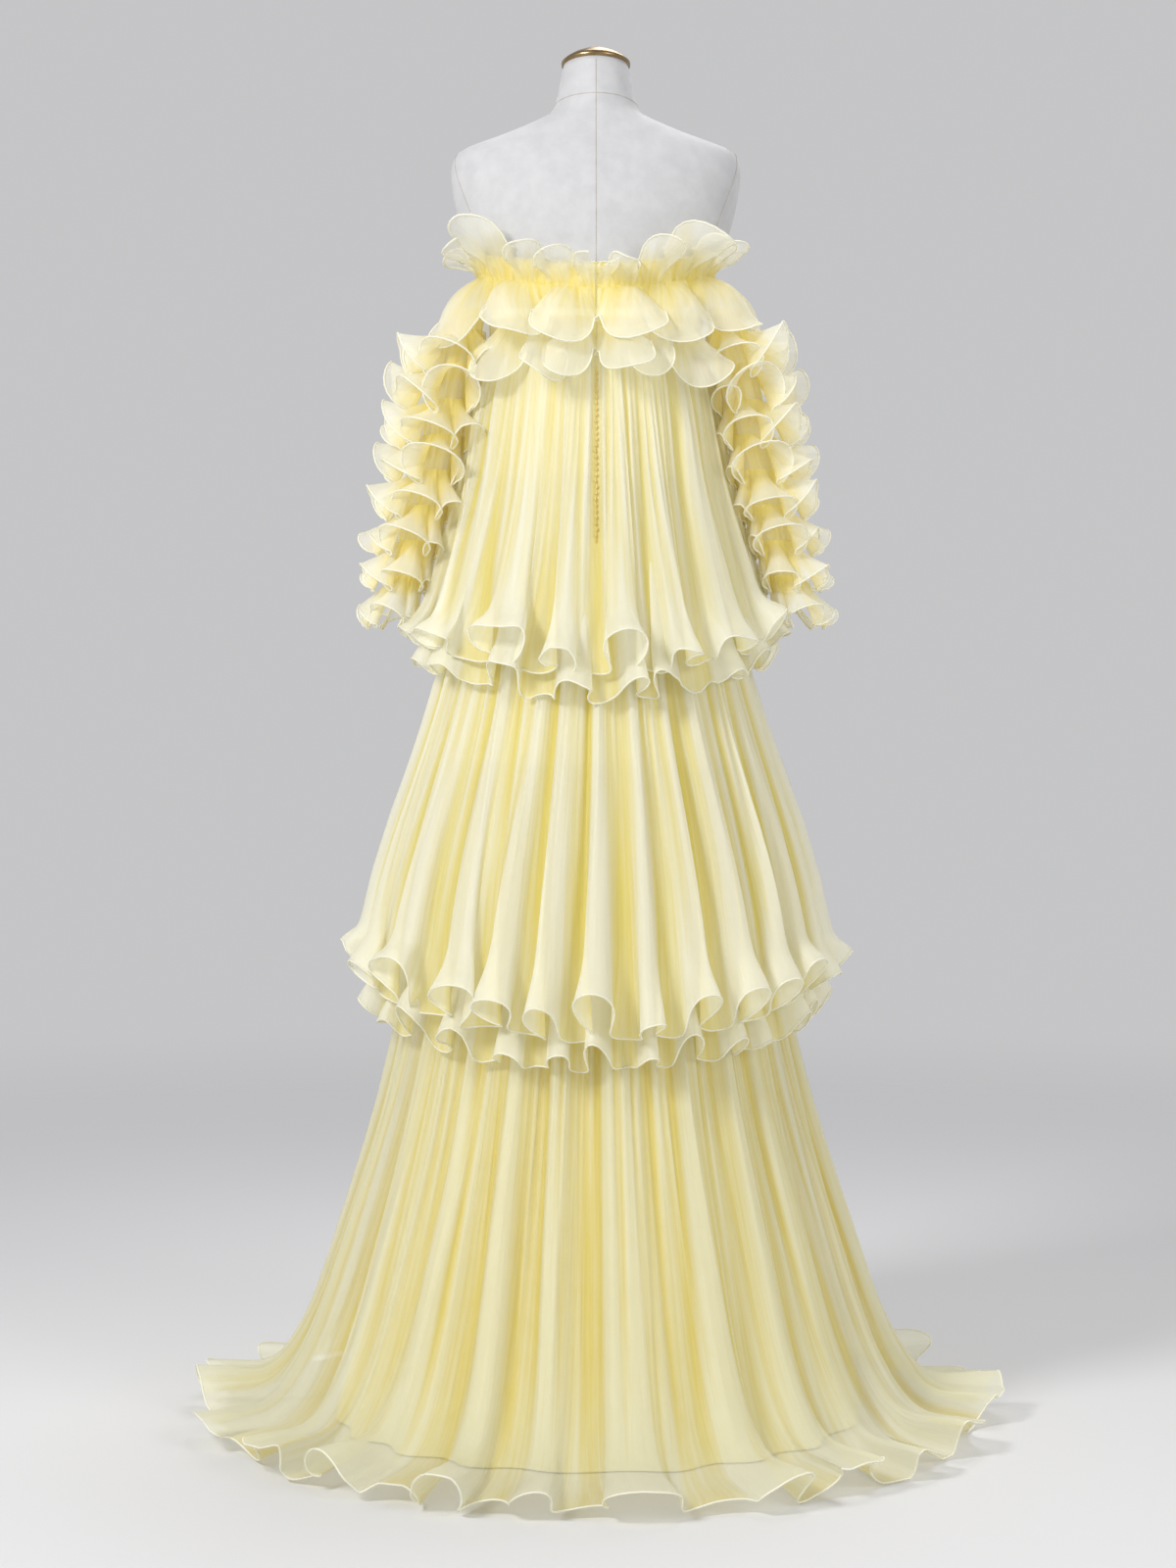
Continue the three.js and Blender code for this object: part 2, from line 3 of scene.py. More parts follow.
import bpy
import numpy as np
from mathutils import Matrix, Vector


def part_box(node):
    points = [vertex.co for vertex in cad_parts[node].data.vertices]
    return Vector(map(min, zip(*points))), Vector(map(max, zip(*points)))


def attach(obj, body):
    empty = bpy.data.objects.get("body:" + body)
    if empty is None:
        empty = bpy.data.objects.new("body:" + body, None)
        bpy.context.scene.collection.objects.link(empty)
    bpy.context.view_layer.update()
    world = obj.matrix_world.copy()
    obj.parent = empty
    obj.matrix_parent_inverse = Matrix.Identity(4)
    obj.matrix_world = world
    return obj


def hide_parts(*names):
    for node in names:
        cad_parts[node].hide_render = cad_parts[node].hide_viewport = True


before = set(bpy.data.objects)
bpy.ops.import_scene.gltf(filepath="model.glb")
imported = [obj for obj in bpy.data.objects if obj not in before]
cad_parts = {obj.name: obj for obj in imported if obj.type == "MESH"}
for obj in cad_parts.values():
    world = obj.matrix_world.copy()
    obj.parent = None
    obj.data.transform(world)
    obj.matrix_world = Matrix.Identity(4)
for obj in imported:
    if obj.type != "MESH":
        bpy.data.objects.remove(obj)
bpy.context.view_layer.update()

# A tiered organza evening dress on a linen dress form, in metres, in the frame of the solids.
# The wearer's back faces -Y. A ring is an ellipse round the form's axis, and its angle is 0 at the
# centre back and grows towards +X.

POLE_LOW, POLE_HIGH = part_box("form_pole")
AXIS = (POLE_LOW + POLE_HIGH) / 2
FULL_TURN = 2 * math.pi

WALL = 0.0015  # thickness of the cloth in the solids
ON_FORM = 0.00135  # from the torso's surface to the middle of the first layer on it
STACK = 0.002  # from the middle of one layer to the middle of the next
HEM_RADIUS = 0.0012  # of a rolled hem

# Columns of a layer's rings: height at the side, the back and the front, half width, depths to the back
# and the front, and how far its flutes stand out, rise at their crests, and curl as a share of their width
RING_KEYS = "z z_back z_front side back front out lift curl"


def table(keys, rows):
    """Named columns, each an array with a value for each row."""
    return dict(zip(keys.split(), np.array(rows, float).T))


# The torso from its underside to the neck's edge: half width, depths to the back and the front, how
# far the section's centre lies in front of the axis, and how much higher its back is than its sides
TORSO = table("z side back front ahead tilt", [
    [0.980, 0.126, 0.094, 0.092, 0, 0],
    [1.010, 0.150, 0.110, 0.104, 0, 0],
    [1.085, 0.160, 0.116, 0.108, 0, 0],
    [1.160, 0.147, 0.106, 0.100, 0, 0],
    [1.235, 0.125, 0.088, 0.094, 0, 0],
    [1.300, 0.114, 0.080, 0.092, 0, 0],
    [1.370, 0.124, 0.086, 0.110, 0, 0],
    [1.425, 0.134, 0.095, 0.128, 0, 0],
    [1.492, 0.146, 0.102, 0.122, 0, 0],
    [1.530, 0.162, 0.103, 0.110, 0, 0],
    [1.567, 0.179, 0.101, 0.099, 0, 0],
    [1.637, 0.191, 0.090, 0.079, 0.004, 0],
    [1.658, 0.187, 0.083, 0.070, 0.006, 0],
    [1.668, 0.176, 0.078, 0.065, 0.007, 0],
    [1.685, 0.132, 0.071, 0.061, 0.009, 0],
    [1.702, 0.090, 0.065, 0.058, 0.012, 0.001],
    [1.719, 0.058, 0.059, 0.054, 0.014, 0.002],
    [1.780, 0.043, 0.047, 0.046, 0.018, 0.006],
])
# The neck cap from the neck's edge up: height above it, and size as a share of the neck's
NECK_CAP = table("up size", [
    [-0.004, 1.00],
    [0.0003, 1.00],
    [0.0010, 1.05],
    [0.0050, 1.06],
    [0.0080, 0.98],
    [0.0125, 0.80],
    [0.0160, 0.56],
    [0.0180, 0.30],
    [0.0186, 0.001],
])

# The rings of each layer below its seam
SLIP = [
    [1.300, 1.300, 1.300, 0.137, 0.108, 0.132, 0, 0, 0],
    [1.085, 1.085, 1.085, 0.166, 0.142, 0.145, 0, 0, 0],
    [0.970, 0.970, 0.970, 0.183, 0.168, 0.167, 0, 0, 0],
    [0.860, 0.860, 0.860, 0.190, 0.174, 0.174, 0, 0, 0],
    [0.400, 0.400, 0.400, 0.244, 0.238, 0.230, 0, 0, 0],
    [0.002, 0.002, 0.002, 0.335, 0.335, 0.315, 0, 0, 0],
]
TIER_1 = [
    [1.345, 1.340, 1.345, 0.151, 0.121, 0.146, 0.005, 0, 0],
    [1.245, 1.235, 1.245, 0.166, 0.142, 0.158, 0.010, 0, 0.02],
    [1.100, 1.075, 1.103, 0.200, 0.184, 0.190, 0.020, 0, 0.05],
    [1.012, 0.972, 1.018, 0.220, 0.214, 0.211, 0.032, 0.034, 0.16],
]
TIER_1_UNDER = [
    [1.245, 1.235, 1.245, 0.161, 0.136, 0.152, 0.006, 0, 0],
    [0.980, 0.938, 0.985, 0.213, 0.206, 0.203, 0.022, 0.024, 0.09],
]
TIER_2 = [
    [1.000, 0.990, 1.000, 0.186, 0.172, 0.172, 0.012, 0, 0],
    [0.665, 0.645, 0.665, 0.276, 0.270, 0.258, 0.033, 0, 0.05],
    [0.566, 0.520, 0.572, 0.286, 0.292, 0.272, 0.042, 0.046, 0.20],
]
TIER_2_UNDER = [
    [1.000, 0.990, 1.000, 0.181, 0.166, 0.166, 0.006, 0, 0],
    [0.640, 0.615, 0.640, 0.254, 0.248, 0.238, 0.018, 0, 0.03],
    [0.518, 0.478, 0.524, 0.270, 0.270, 0.254, 0.030, 0.028, 0.09],
]
TIER_3 = [
    [0.503, 0.503, 0.503, 0.247, 0.240, 0.232, 0.013, 0, 0],
    [0.230, 0.230, 0.230, 0.324, 0.328, 0.306, 0.022, 0, 0.02],
    [0.080, 0.080, 0.080, 0.384, 0.402, 0.362, 0.022, 0.008, 0.03],
    [0.018, 0.018, 0.018, 0.440, 0.484, 0.415, 0.016, 0.020, 0.06],
    [0.003, 0.003, 0.003, 0.496, 0.552, 0.466, 0.026, 0.030, 0.10],
]

# Flutes from the centre back round towards +X: width in degrees, and shares of the ring's out and lift.
# Each layer's first flute starts at its own angle.
TIER_1_FLUTES = [
    (17, 1.2, 1.5), (18, 0.9, 0.8), (23, 0.8, 0.6), (18, 1.05, 1.2), (14, 0.85, 0.8), (22, 0.9, 0.9),
    (24, 1.1, 1.2), (22, 0.9, 0.8), (22, 1, 1.1), (24, 1.1, 0.9), (22, 0.8, 1), (22, 1, 1.1),
    (24, 0.9, 0.8), (20, 1, 1), (24, 1, 1.1), (26, 1.1, 1.2), (18, 0.9, 0.9),
]
TIER_2_FLUTES = [
    (12, 1.1, 1.5), (9, 0.8, 0.6), (12, 0.95, 1.2), (11, 0.9, 0.7), (12, 0.8, 0.7), (15, 1, 1.2),
    (12, 0.8, 0.8), (14, 1.05, 1.1), (15, 0.9, 0.8), (16, 1, 1.1), (13, 0.8, 0.8), (16, 1.05, 1.1),
    (14, 0.9, 0.9), (15, 1, 1.1), (13, 0.85, 0.8), (16, 1.05, 1.1), (14, 0.9, 0.8), (15, 1, 1),
    (14, 0.9, 0.9), (13, 0.8, 0.8), (16, 1.05, 1.1), (15, 0.85, 0.8), (18, 1.05, 1.3),
    (16, 0.95, 1.1), (13, 0.8, 0.8), (11, 0.9, 0.9),
]
TIER_3_FLUTES = [
    (19, 1, 1.1), (15, 1.1, 1.1), (13, 0.9, 1), (13, 1, 0.9), (17, 1.1, 1.1), (20, 1, 1.2),
    (18, 0.9, 0.9), (17, 1, 1), (17, 0.9, 1.1), (17, 1.1, 0.9), (17, 0.9, 1), (17, 1, 1.1),
    (17, 0.9, 0.9), (17, 1.1, 1.1), (17, 0.9, 1), (18, 1, 0.9), (16, 0.9, 1.2), (18, 1.1, 1),
    (17, 1, 0.9), (15, 0.9, 1.1), (13, 1, 1), (12, 0.9, 0.9),
]
TIER_1_START, TIER_2_START, TIER_3_START = 0, -4, -3

# Lines round the dress: heights at the side, the back and the front
BODICE_TOP = (1.526, 1.506, 1.512)
CHEST = (1.492, 1.492, 1.492)
UNDERARM = (1.425, 1.425, 1.425)
BAND_BOTTOM = (1.456, 1.449, 1.450)
UPPER_RUFFLE_LINE = (1.500, 1.474, 1.482)
TIER_1_SEAM_TOP = (1.444, 1.438, 1.440)
TIER_1_SEAM = (1.425, 1.420, 1.422)
TIER_2_SEAM = (1.235, 1.235, 1.235)
TIER_3_SEAM = (0.860, 0.860, 0.860)

OPENING = math.radians(0.5)  # from the centre back to the edges of the neckline's pieces
LOWER_REACH = math.radians(58)  # where the lower ruffle ends beside each sleeve

# A sleeve from its head to its open end: height, gap to the first tier, half width and half depth
SLEEVE = table("z gap width depth", [
    [1.456, 0.0003, 0.024, 0.044],
    [1.430, 0.009, 0.025, 0.048],
    [1.350, 0.0095, 0.026, 0.052],
    [1.230, 0.0095, 0.026, 0.052],
    [1.140, 0.0095, 0.023, 0.048],
    [1.085, 0.0095, 0.020, 0.042],
])
SIDE_FLUTE = 0.95  # share of a tier's out that its flutes reach beside a sleeve
FRILL_DOWN = 0.060  # length of a frill
FRILL_LAP = 0.38  # how far each petal spreads over the next, as a share of its width
FRILL_STAND = 0.003  # from the sleeve's cloth to a frill's gathers
FRILL_WAVES = 4  # wide waves of a frill, each of which falls in two petals
NEAR_BODY = 4  # degrees that a frill swings out next to the body
# The height of each frill's upper edge, and how many degrees its solid swings out in its valleys and at
# its crests
FRILL_ROWS = [
    (1.428, 33, 74),
    (1.382, 33, 73),
    (1.336, 33, 71),
    (1.290, 33, 67),
    (1.244, 33, 61),
    (1.198, 33, 54),
    (1.152, 31, 46),
    (1.106, 14, 38),
]

# Petals of the neck ruffles from the centre back round towards +X: width in degrees, share of the
# length, and the sideways lean of the petal's tip. The upper ruffle has narrower petals above its
# gathers than below.
PETALS_ABOVE = [
    (13, 0.80, 0.20), (14, 0.72, -0.10), (15, 0.95, 0.15), (20, 1.30, 0.25), (18, 0.90, -0.15),
    (19, 0.80, 0.15), (18, 0.72, 0.10), (20, 0.95, -0.20), (19, 0.85, 0.10), (18, 1.00, 0.15),
    (20, 0.85, -0.10), (19, 1.00, 0.20), (18, 0.85, -0.15), (20, 0.95, 0.10), (18, 0.75, 0.15),
    (19, 0.70, -0.20), (19, 0.85, 0.10), (19, 1.28, -0.20), (18, 0.90, 0.15), (16, 0.75, -0.10),
]
PETALS_BELOW = [
    (23, 0.95, 0.20), (25, 1.05, 0.10), (29, 1.00, 0.25), (30, 1.20, -0.05), (26, 0.95, 0.15),
    (28, 1.05, -0.10), (27, 1.00, 0.10), (29, 0.95, 0.20), (26, 1.10, -0.10), (30, 1.15, 0.15),
    (28, 1.20, -0.15), (31, 1.00, 0.20), (23.6, 1.00, -0.10),
]
LOWER_PETALS_RIGHT = [(17, 1.10, 0.15), (18, 0.95, -0.10), (20.8, 1.05, 0.10)]
LOWER_PETALS_LEFT = [(20.8, 0.95, -0.1), (19, 1.10, 0.20), (16, 1.00, -0.15)]
LOWER_PETALS_FRONT = [
    (20, 1.05, 0.1), (18, 0.95, -0.1), (21, 1.1, 0.2), (19, 0.95, -0.2), (20, 1.1, 0.1), (18, 0.95, 0.1),
]

# How far a petal swings out at places from its gathers to its rim, as a share of its full angle
PETAL_PLACES = (0, 0.35, 0.7, 0.86, 1)
HANGING = (1.0, 0.72, 0.22, 0.16, 0.61)
OPENING_OUT = (0.35, 0.75, 1.0, 1.1, 1.2)
STANDING_OUT = (0.5, 0.85, 1.0, 1.0, 1.08)
CONES = (0.6, 0.85, 0.80, 0.70, 0.85)


# Curves and waves

RIPPLE_COSINES = 7
RELIEF_REACH = 8  # columns to each side that a place's height is compared with
RELIEF_HEIGHT = 0.0065  # difference in height that takes the painted light from full painted shade at 0 to full painted highlight at 1


def mix(a, b, share):
    return a + (b - a) * share


def ease(x):
    """A soft step from 0 to 1."""
    x = np.clip(x, 0, 1)
    return x * x * (3 - 2 * x)


def near_hem(down, start):
    """A soft step from 0 at one share of the way down to 1 at the hem."""
    return ease((down - start) / (1 - start))


def monotone(xs, ys, x):
    """A smooth curve through points that doesn't swing past them."""
    steps = np.diff(xs)
    slopes = np.diff(ys) / steps
    ends = np.zeros(len(xs))
    ends[0], ends[-1] = slopes[0], slopes[-1]
    same = slopes[1:] * slopes[:-1] > 0
    before, after = slopes[:-1][same], slopes[1:][same]
    ends[1:-1][same] = 2 * before * after / (before + after)
    i = np.clip(np.searchsorted(xs, x) - 1, 0, len(steps) - 1)
    t = (x - xs[i]) / steps[i]
    return (
        ys[i] * (1 + 2 * t) * (1 - t) ** 2
        + ends[i] * steps[i] * t * (1 - t) ** 2
        + ys[i + 1] * t * t * (3 - 2 * t)
        + ends[i + 1] * steps[i] * t * t * (t - 1)
    )


def at_heights(rows, z):
    """A table's columns at some heights."""
    order = np.argsort(rows["z"])
    z = np.clip(z, rows["z"].min(), rows["z"].max())
    return {key: monotone(rows["z"][order], column[order], z) for key, column in rows.items()}


def down_the_cloth(rows, count, towards_hem=1.0):
    """A table's columns at count places spaced along the cloth, closer together near the hem if
    towards_hem is over 1, and each place's share of the way down."""
    steps = np.hypot(np.diff(rows["z"]), np.diff(rows["side"]))
    lengths = np.concatenate([[0], np.cumsum(steps)])
    share = 1 - (1 - np.linspace(0, 1, count)) ** towards_hem
    found = {key: monotone(lengths, column, share * lengths[-1]) for key, column in rows.items()}
    return found, share[:, None]


def ring_points(ring, angle, out=0, up=0, along=0):
    """Points of rings, one row for each, moved out across the ring, up, and along it."""
    col = {key: np.reshape(column, (-1, 1)) for key, column in ring.items()}
    s, c = np.sin(angle), np.cos(angle)
    depth = np.where(c > 0, col["back"], col["front"])
    z_end = np.where(c > 0, col.get("z_back", col["z"]), col.get("z_front", col["z"]))
    across_x, across_y = depth * s, -col["side"] * c
    length = np.hypot(across_x, across_y)
    across_x, across_y = across_x / length, across_y / length
    x = AXIS.x + col["side"] * s + across_x * out - across_y * along
    y = AXIS.y + col.get("ahead", 0) - depth * c + across_y * out + across_x * along
    z = mix(col["z"], z_end, c * c) + col.get("tilt", 0) * c + up
    return np.stack(np.broadcast_arrays(x, y, z), axis=-1)


def pleats(angle, down, seed, count, reach, drift=0.0, widths=(0.45, 1.0), crisp=False):
    """Folds at random places round the dress, each fading out at its own share of the way down, within
    reach. They wander sideways by drift, and their widths are shares of their spacing. The value is 0
    between them and about 1 on the highest ridges, which are sharp where crisp is true."""
    rng = np.random.default_rng(seed)
    spacing = FULL_TURN / count
    total = np.zeros(np.broadcast_shapes(angle.shape, down.shape))
    for index in range(count):
        place = (index + rng.uniform(-0.4, 0.4)) * spacing
        width = rng.uniform(*widths) * spacing
        height = rng.uniform(0.3, 1.0)
        end = rng.uniform(*reach)
        shift = rng.normal(0, drift) * spacing
        sway = 0.12 * spacing * drift * np.sin(rng.uniform(3, 7) * down + rng.uniform(0, FULL_TURN))
        swell = 1 + 0.25 * np.sin(rng.uniform(2, 6) * down + rng.uniform(0, FULL_TURN))
        off = (angle - place - shift * down * down - sway + math.pi) % FULL_TURN - math.pi
        aside = np.abs(off / width)
        profile = np.clip(1 - (aside if crisp else aside ** 2), 0, 1) ** (1.6 if crisp else 1.3)
        total += height * profile * swell * ease((end - down) / 0.3)
    return total


def ripples(angle, seed, lowest, highest):
    """Soft waves round the dress with a mean of 0 and a size of about 1. Each is a sum of cosines whose
    numbers of waves lie between lowest and highest."""
    rng = np.random.default_rng(seed)
    total = 0
    for _ in range(RIPPLE_COSINES):
        waves = int(rng.integers(lowest, highest + 1))
        total = total + np.cos(waves * angle + rng.uniform(0, FULL_TURN))
    return total / math.sqrt(RIPPLE_COSINES / 2) / 1.4


def painted_light_from_relief(height):
    """Painted light for each place in a closed row of heights: over 0.5, towards a painted highlight, where
    it stands out of the places beside it, and under 0.5, towards painted shade, in a hollow."""
    beside = range(-RELIEF_REACH, RELIEF_REACH + 1)
    around = sum(np.roll(height, step, axis=1) for step in beside) / len(beside)
    return np.clip(0.5 + (height - around) / RELIEF_HEIGHT, 0, 1)


# Meshes

def build_mesh(name, grids, materials):
    """An object of one or more grids of points. Each is (points, closed, slot, painted light and shade).
    That last value paints light and shade into the cloth's colour: 0 is painted shade, in hollows, at
    gathers and next to the body, and 1 a pale painted highlight, on ridges and rims."""
    points, faces, slots, maps, painted_lights = [], [], [], [], []
    start = 0
    for grid, closed, slot, painted_light in grids:
        painted_lights.append(np.broadcast_to(painted_light, grid.shape[:2]).ravel())
        rows, columns = grid.shape[:2]
        index = start + np.arange(rows * columns).reshape(rows, columns)
        if closed:
            index = np.concatenate([index, index[:, :1]], axis=1)
        quads = np.stack([index[:-1, :-1], index[1:, :-1], index[1:, 1:], index[:-1, 1:]], axis=-1)
        points.append(grid.reshape(-1, 3))
        faces.append(quads.reshape(-1, 4))
        slots.append(np.full(len(faces[-1]), slot))
        across, down = np.meshgrid(np.arange(index.shape[1]), np.arange(rows))
        place = np.stack([across, down], axis=-1).astype(float)
        along = np.linalg.norm(np.diff(grid[-1], axis=0), axis=-1).mean()
        fall = np.linalg.norm(np.diff(grid[:, 0], axis=0), axis=-1).mean()
        place *= (along, -fall)
        corners = [place[:-1, :-1], place[1:, :-1], place[1:, 1:], place[:-1, 1:]]
        maps.append(np.stack(corners, axis=-2).reshape(-1, 2))
        start += rows * columns
    mesh = bpy.data.meshes.new(name)
    mesh.from_pydata(np.concatenate(points), [], np.concatenate(faces))
    mesh.polygons.foreach_set("material_index", np.concatenate(slots).astype(np.int32))
    mesh.polygons.foreach_set("use_smooth", np.ones(len(mesh.polygons), dtype=bool))
    mesh.uv_layers.new(name="cloth").uv.foreach_set("vector", np.concatenate(maps).ravel())
    mesh.attributes.new("painted_light", "FLOAT", "POINT").data.foreach_set("value", np.concatenate(painted_lights))
    for material in materials:
        mesh.materials.append(material)
    mesh.update()
    piece = bpy.data.objects.new(name, mesh)
    bpy.context.scene.collection.objects.link(piece)
    return piece


TUBE_SIDES = 6


def thread(line, radius, closed=False, slot=0):
    """A thread round a line of points, as a grid for build_mesh."""
    if closed:
        tangent = np.roll(line, -1, axis=0) - np.roll(line, 1, axis=0)
    else:
        tangent = np.gradient(line, axis=0)
    tangent /= np.linalg.norm(tangent, axis=1, keepdims=True)
    side = np.cross(tangent, (0.02, 0.03, 1.0))
    side /= np.linalg.norm(side, axis=1, keepdims=True)
    over = np.cross(tangent, side)
    turn = np.linspace(0, FULL_TURN, TUBE_SIDES, endpoint=False)[:, None, None]
    ring = line + radius * (np.cos(turn) * side + np.sin(turn) * over)
    return np.concatenate([ring, ring[:1]]), closed, slot, 1.0


def hem_roll(grid, closed, radius=HEM_RADIUS):
    """The rolled hem along a grid's last row, in the piece's second material."""
    return thread(grid[-1], radius, closed, 1)


# Materials

def new_material(name):
    material = bpy.data.materials.new(name)
    material.use_nodes = True
    tree = material.node_tree
    tree.nodes.clear()
    output = tree.nodes.new("ShaderNodeOutputMaterial")
    return material, tree, output


def noise(tree, scale, detail, roughness, stretch=(1, 1, 1), source="Object"):
    """A noise texture in the object's own coordinates, or in its cloth map."""
    coordinates = tree.nodes.new("ShaderNodeTexCoord")
    mapping = tree.nodes.new("ShaderNodeMapping")
    mapping.inputs["Scale"].default_value = stretch
    texture = tree.nodes.new("ShaderNodeTexNoise")
    texture.inputs["Scale"].default_value = scale
    texture.inputs["Detail"].default_value = detail
    texture.inputs["Roughness"].default_value = roughness
    tree.links.new(coordinates.outputs[source], mapping.inputs["Vector"])
    tree.links.new(mapping.outputs["Vector"], texture.inputs["Vector"])
    return texture.outputs["Fac"]


def colour_between(tree, factor, low, high, start=0.35, end=0.65):
    ramp = tree.nodes.new("ShaderNodeValToRGB")
    ramp.color_ramp.elements[0].position = start
    ramp.color_ramp.elements[0].color = (*low, 1)
    ramp.color_ramp.elements[1].position = end
    ramp.color_ramp.elements[1].color = (*high, 1)
    tree.links.new(factor, ramp.inputs["Fac"])
    return ramp.outputs["Color"]


def bump(tree, height, strength, distance, base=None):
    node = tree.nodes.new("ShaderNodeBump")
    node.inputs["Strength"].default_value = strength
    node.inputs["Distance"].default_value = distance
    tree.links.new(height, node.inputs["Height"])
    if base is not None:
        tree.links.new(base, node.inputs["Normal"])
    return node.outputs["Normal"]


STREAK_STRETCH = (1, 0.035, 1)  # along the threads that fall from the seam
STREAK_TONE = 0.75  # share of the streaks that is added to a place's painted light and shade


def organza(name, low, high, cover, glow):
    """Sheer crisp cloth. cover is the share of light that its threads stop, and glow the share of that
    which passes through them. Its colour goes from low, a painted shade, to high, a pale painted highlight,
    with the mesh's painted light and shade and its streaks."""
    material, tree, output = new_material(name)
    streaks = noise(tree, 95, 4, 0.62, STREAK_STRETCH, "UV")
    # The mesh's painted light and shade, which moves the colour between painted shade and painted highlight
    painted_light = tree.nodes.new("ShaderNodeAttribute")
    painted_light.attribute_name = "painted_light"
    both = tree.nodes.new("ShaderNodeMath")
    both.operation = "MULTIPLY_ADD"
    both.inputs[1].default_value = STREAK_TONE
    tree.links.new(streaks, both.inputs[0])
    tree.links.new(painted_light.outputs["Fac"], both.inputs[2])
    colour = colour_between(tree, both.outputs[0], low, high, 0.35, 1.0)
    crumple = bump(tree, noise(tree, 38, 4, 0.55), 0.3, 0.004)
    normal = bump(tree, streaks, 0.55, 0.003, crumple)
    threads = tree.nodes.new("ShaderNodeBsdfPrincipled")
    threads.inputs["Roughness"].default_value = 0.5
    threads.inputs["Specular IOR Level"].default_value = 0.35
    threads.inputs["Sheen Weight"].default_value = 0.35
    threads.inputs["Sheen Roughness"].default_value = 0.4
    threads.inputs["Sheen Tint"].default_value = (1, 0.98, 0.86, 1)
    through = tree.nodes.new("ShaderNodeBsdfTranslucent")
    for shader, socket in ((threads, "Base Color"), (through, "Color")):
        tree.links.new(colour, shader.inputs[socket])
        tree.links.new(normal, shader.inputs["Normal"])
    lit = tree.nodes.new("ShaderNodeMixShader")
    lit.inputs["Fac"].default_value = glow
    tree.links.new(threads.outputs[0], lit.inputs[1])
    tree.links.new(through.outputs[0], lit.inputs[2])
    gaps = tree.nodes.new("ShaderNodeBsdfTransparent")
    sheer = tree.nodes.new("ShaderNodeMixShader")
    sheer.inputs["Fac"].default_value = cover
    tree.links.new(gaps.outputs[0], sheer.inputs[1])
    tree.links.new(lit.outputs[0], sheer.inputs[2])
    tree.links.new(sheer.outputs[0], output.inputs["Surface"])
    return material


def plain_cloth(name, low, high, weave, roughness=0.85):
    """Opaque woven cloth. weave is how fine its threads are."""
    material, tree, output = new_material(name)
    colour = colour_between(tree, noise(tree, 45, 4, 0.6), low, high)
    threads = noise(tree, weave, 2, 0.5)
    shader = tree.nodes.new("ShaderNodeBsdfPrincipled")
    shader.inputs["Roughness"].default_value = roughness
    shader.inputs["Sheen Weight"].default_value = 0.2
    shader.inputs["Sheen Roughness"].default_value = 0.5
    tree.links.new(colour, shader.inputs["Base Color"])
    tree.links.new(bump(tree, threads, 0.25, 0.0008), shader.inputs["Normal"])
    tree.links.new(shader.outputs[0], output.inputs["Surface"])
    return material


def metal(name, low, high, roughness, metallic=1.0):
    material, tree, output = new_material(name)
    colour = colour_between(tree, noise(tree, 30, 5, 0.6), low, high)
    shader = tree.nodes.new("ShaderNodeBsdfPrincipled")
    shader.inputs["Roughness"].default_value = roughness
    shader.inputs["Metallic"].default_value = metallic
    tree.links.new(colour, shader.inputs["Base Color"])
    tree.links.new(bump(tree, noise(tree, 400, 2, 0.5), 0.08, 0.0005), shader.inputs["Normal"])
    tree.links.new(shader.outputs[0], output.inputs["Surface"])
    return material


# The low colour of the tier, skirt and ruffle organza is painted shade, for hollows, gathers and the cloth
# next to the body, and the high colour a pale painted highlight, for ridges and rims.
TIER_CLOTH = organza("organza_tiers", (0.88, 0.76, 0.20), (0.98, 0.97, 0.83), 0.62, 0.26)
# The skirt's organza is the tiers' made darker: painted shade for the light that falls off towards the
# floor.
SHADED_SKIRT_CLOTH = organza("organza_skirt_painted_shade", (0.75, 0.61, 0.12), (0.86, 0.84, 0.63), 0.62, 0.26)
RUFFLE_CLOTH = organza("organza_ruffles", (0.93, 0.77, 0.13), (0.985, 0.975, 0.85), 0.56, 0.32)
HEM_CLOTH = organza("rolled_hem", (0.96, 0.94, 0.70), (0.99, 0.975, 0.84), 0.92, 0.2)
SLIP_CLOTH = plain_cloth("slip_lining", (0.86, 0.79, 0.42), (0.90, 0.85, 0.54), 1200)
LINEN = plain_cloth("linen", (0.50, 0.50, 0.505), (0.55, 0.55, 0.555), 1400)
SEAM_THREAD = plain_cloth("seam_thread", (0.42, 0.37, 0.30), (0.55, 0.50, 0.42), 900)
GOLD_THREAD = plain_cloth("gold_thread", (0.55, 0.40, 0.08), (0.72, 0.55, 0.16), 900, 0.5)
BRASS = metal("brass", (0.26, 0.18, 0.09), (0.40, 0.29, 0.15), 0.32)
GREY_STEEL = metal("grey_steel", (0.22, 0.22, 0.23), (0.28, 0.28, 0.29), 0.45, 0.6)


def finish_piece(piece, slot, *nodes):
    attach(piece, "root")
    if nodes:
        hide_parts(*nodes)


# Dress form

TORSO_COLUMNS = 120
TORSO_ROWS = 110
CAP_COLUMNS = 96

# The seams on the torso
SEAM_POINTS = 90
SEAM_RADIUS = 0.0004
SEAM_OUT = 0.0002
CENTRE_SEAM_TOP, CENTRE_SEAM_BOTTOM = 1.776, 1.44
NECK_SEAM, NECK_SEAM_TILT = 1.7265, 0.006
ARM_PLATE_MIDDLE, ARM_PLATE_REACH = 1.565, 0.102
ARM_PLATE_LOW, ARM_PLATE_HIGH = 34, 20  # degrees from its middle to its edge near its ends


def cap_end(grid, row):
    """A grid's row closed by a ring of no size at its middle."""
    return np.repeat(grid[row].mean(axis=0)[None], grid.shape[1], axis=0)[None]


def make_torso():
    angle = np.linspace(0, FULL_TURN, TORSO_COLUMNS, endpoint=False)
    z = np.linspace(TORSO["z"].max(), TORSO["z"].min(), TORSO_ROWS)
    grid = ring_points(at_heights(TORSO, z), angle)
    grid = np.concatenate([cap_end(grid, 0), grid, cap_end(grid, -1)])
    finish_piece(build_mesh("dress_form_torso", [(grid, True, 0, 1)], [LINEN]), "linen", "form_torso")


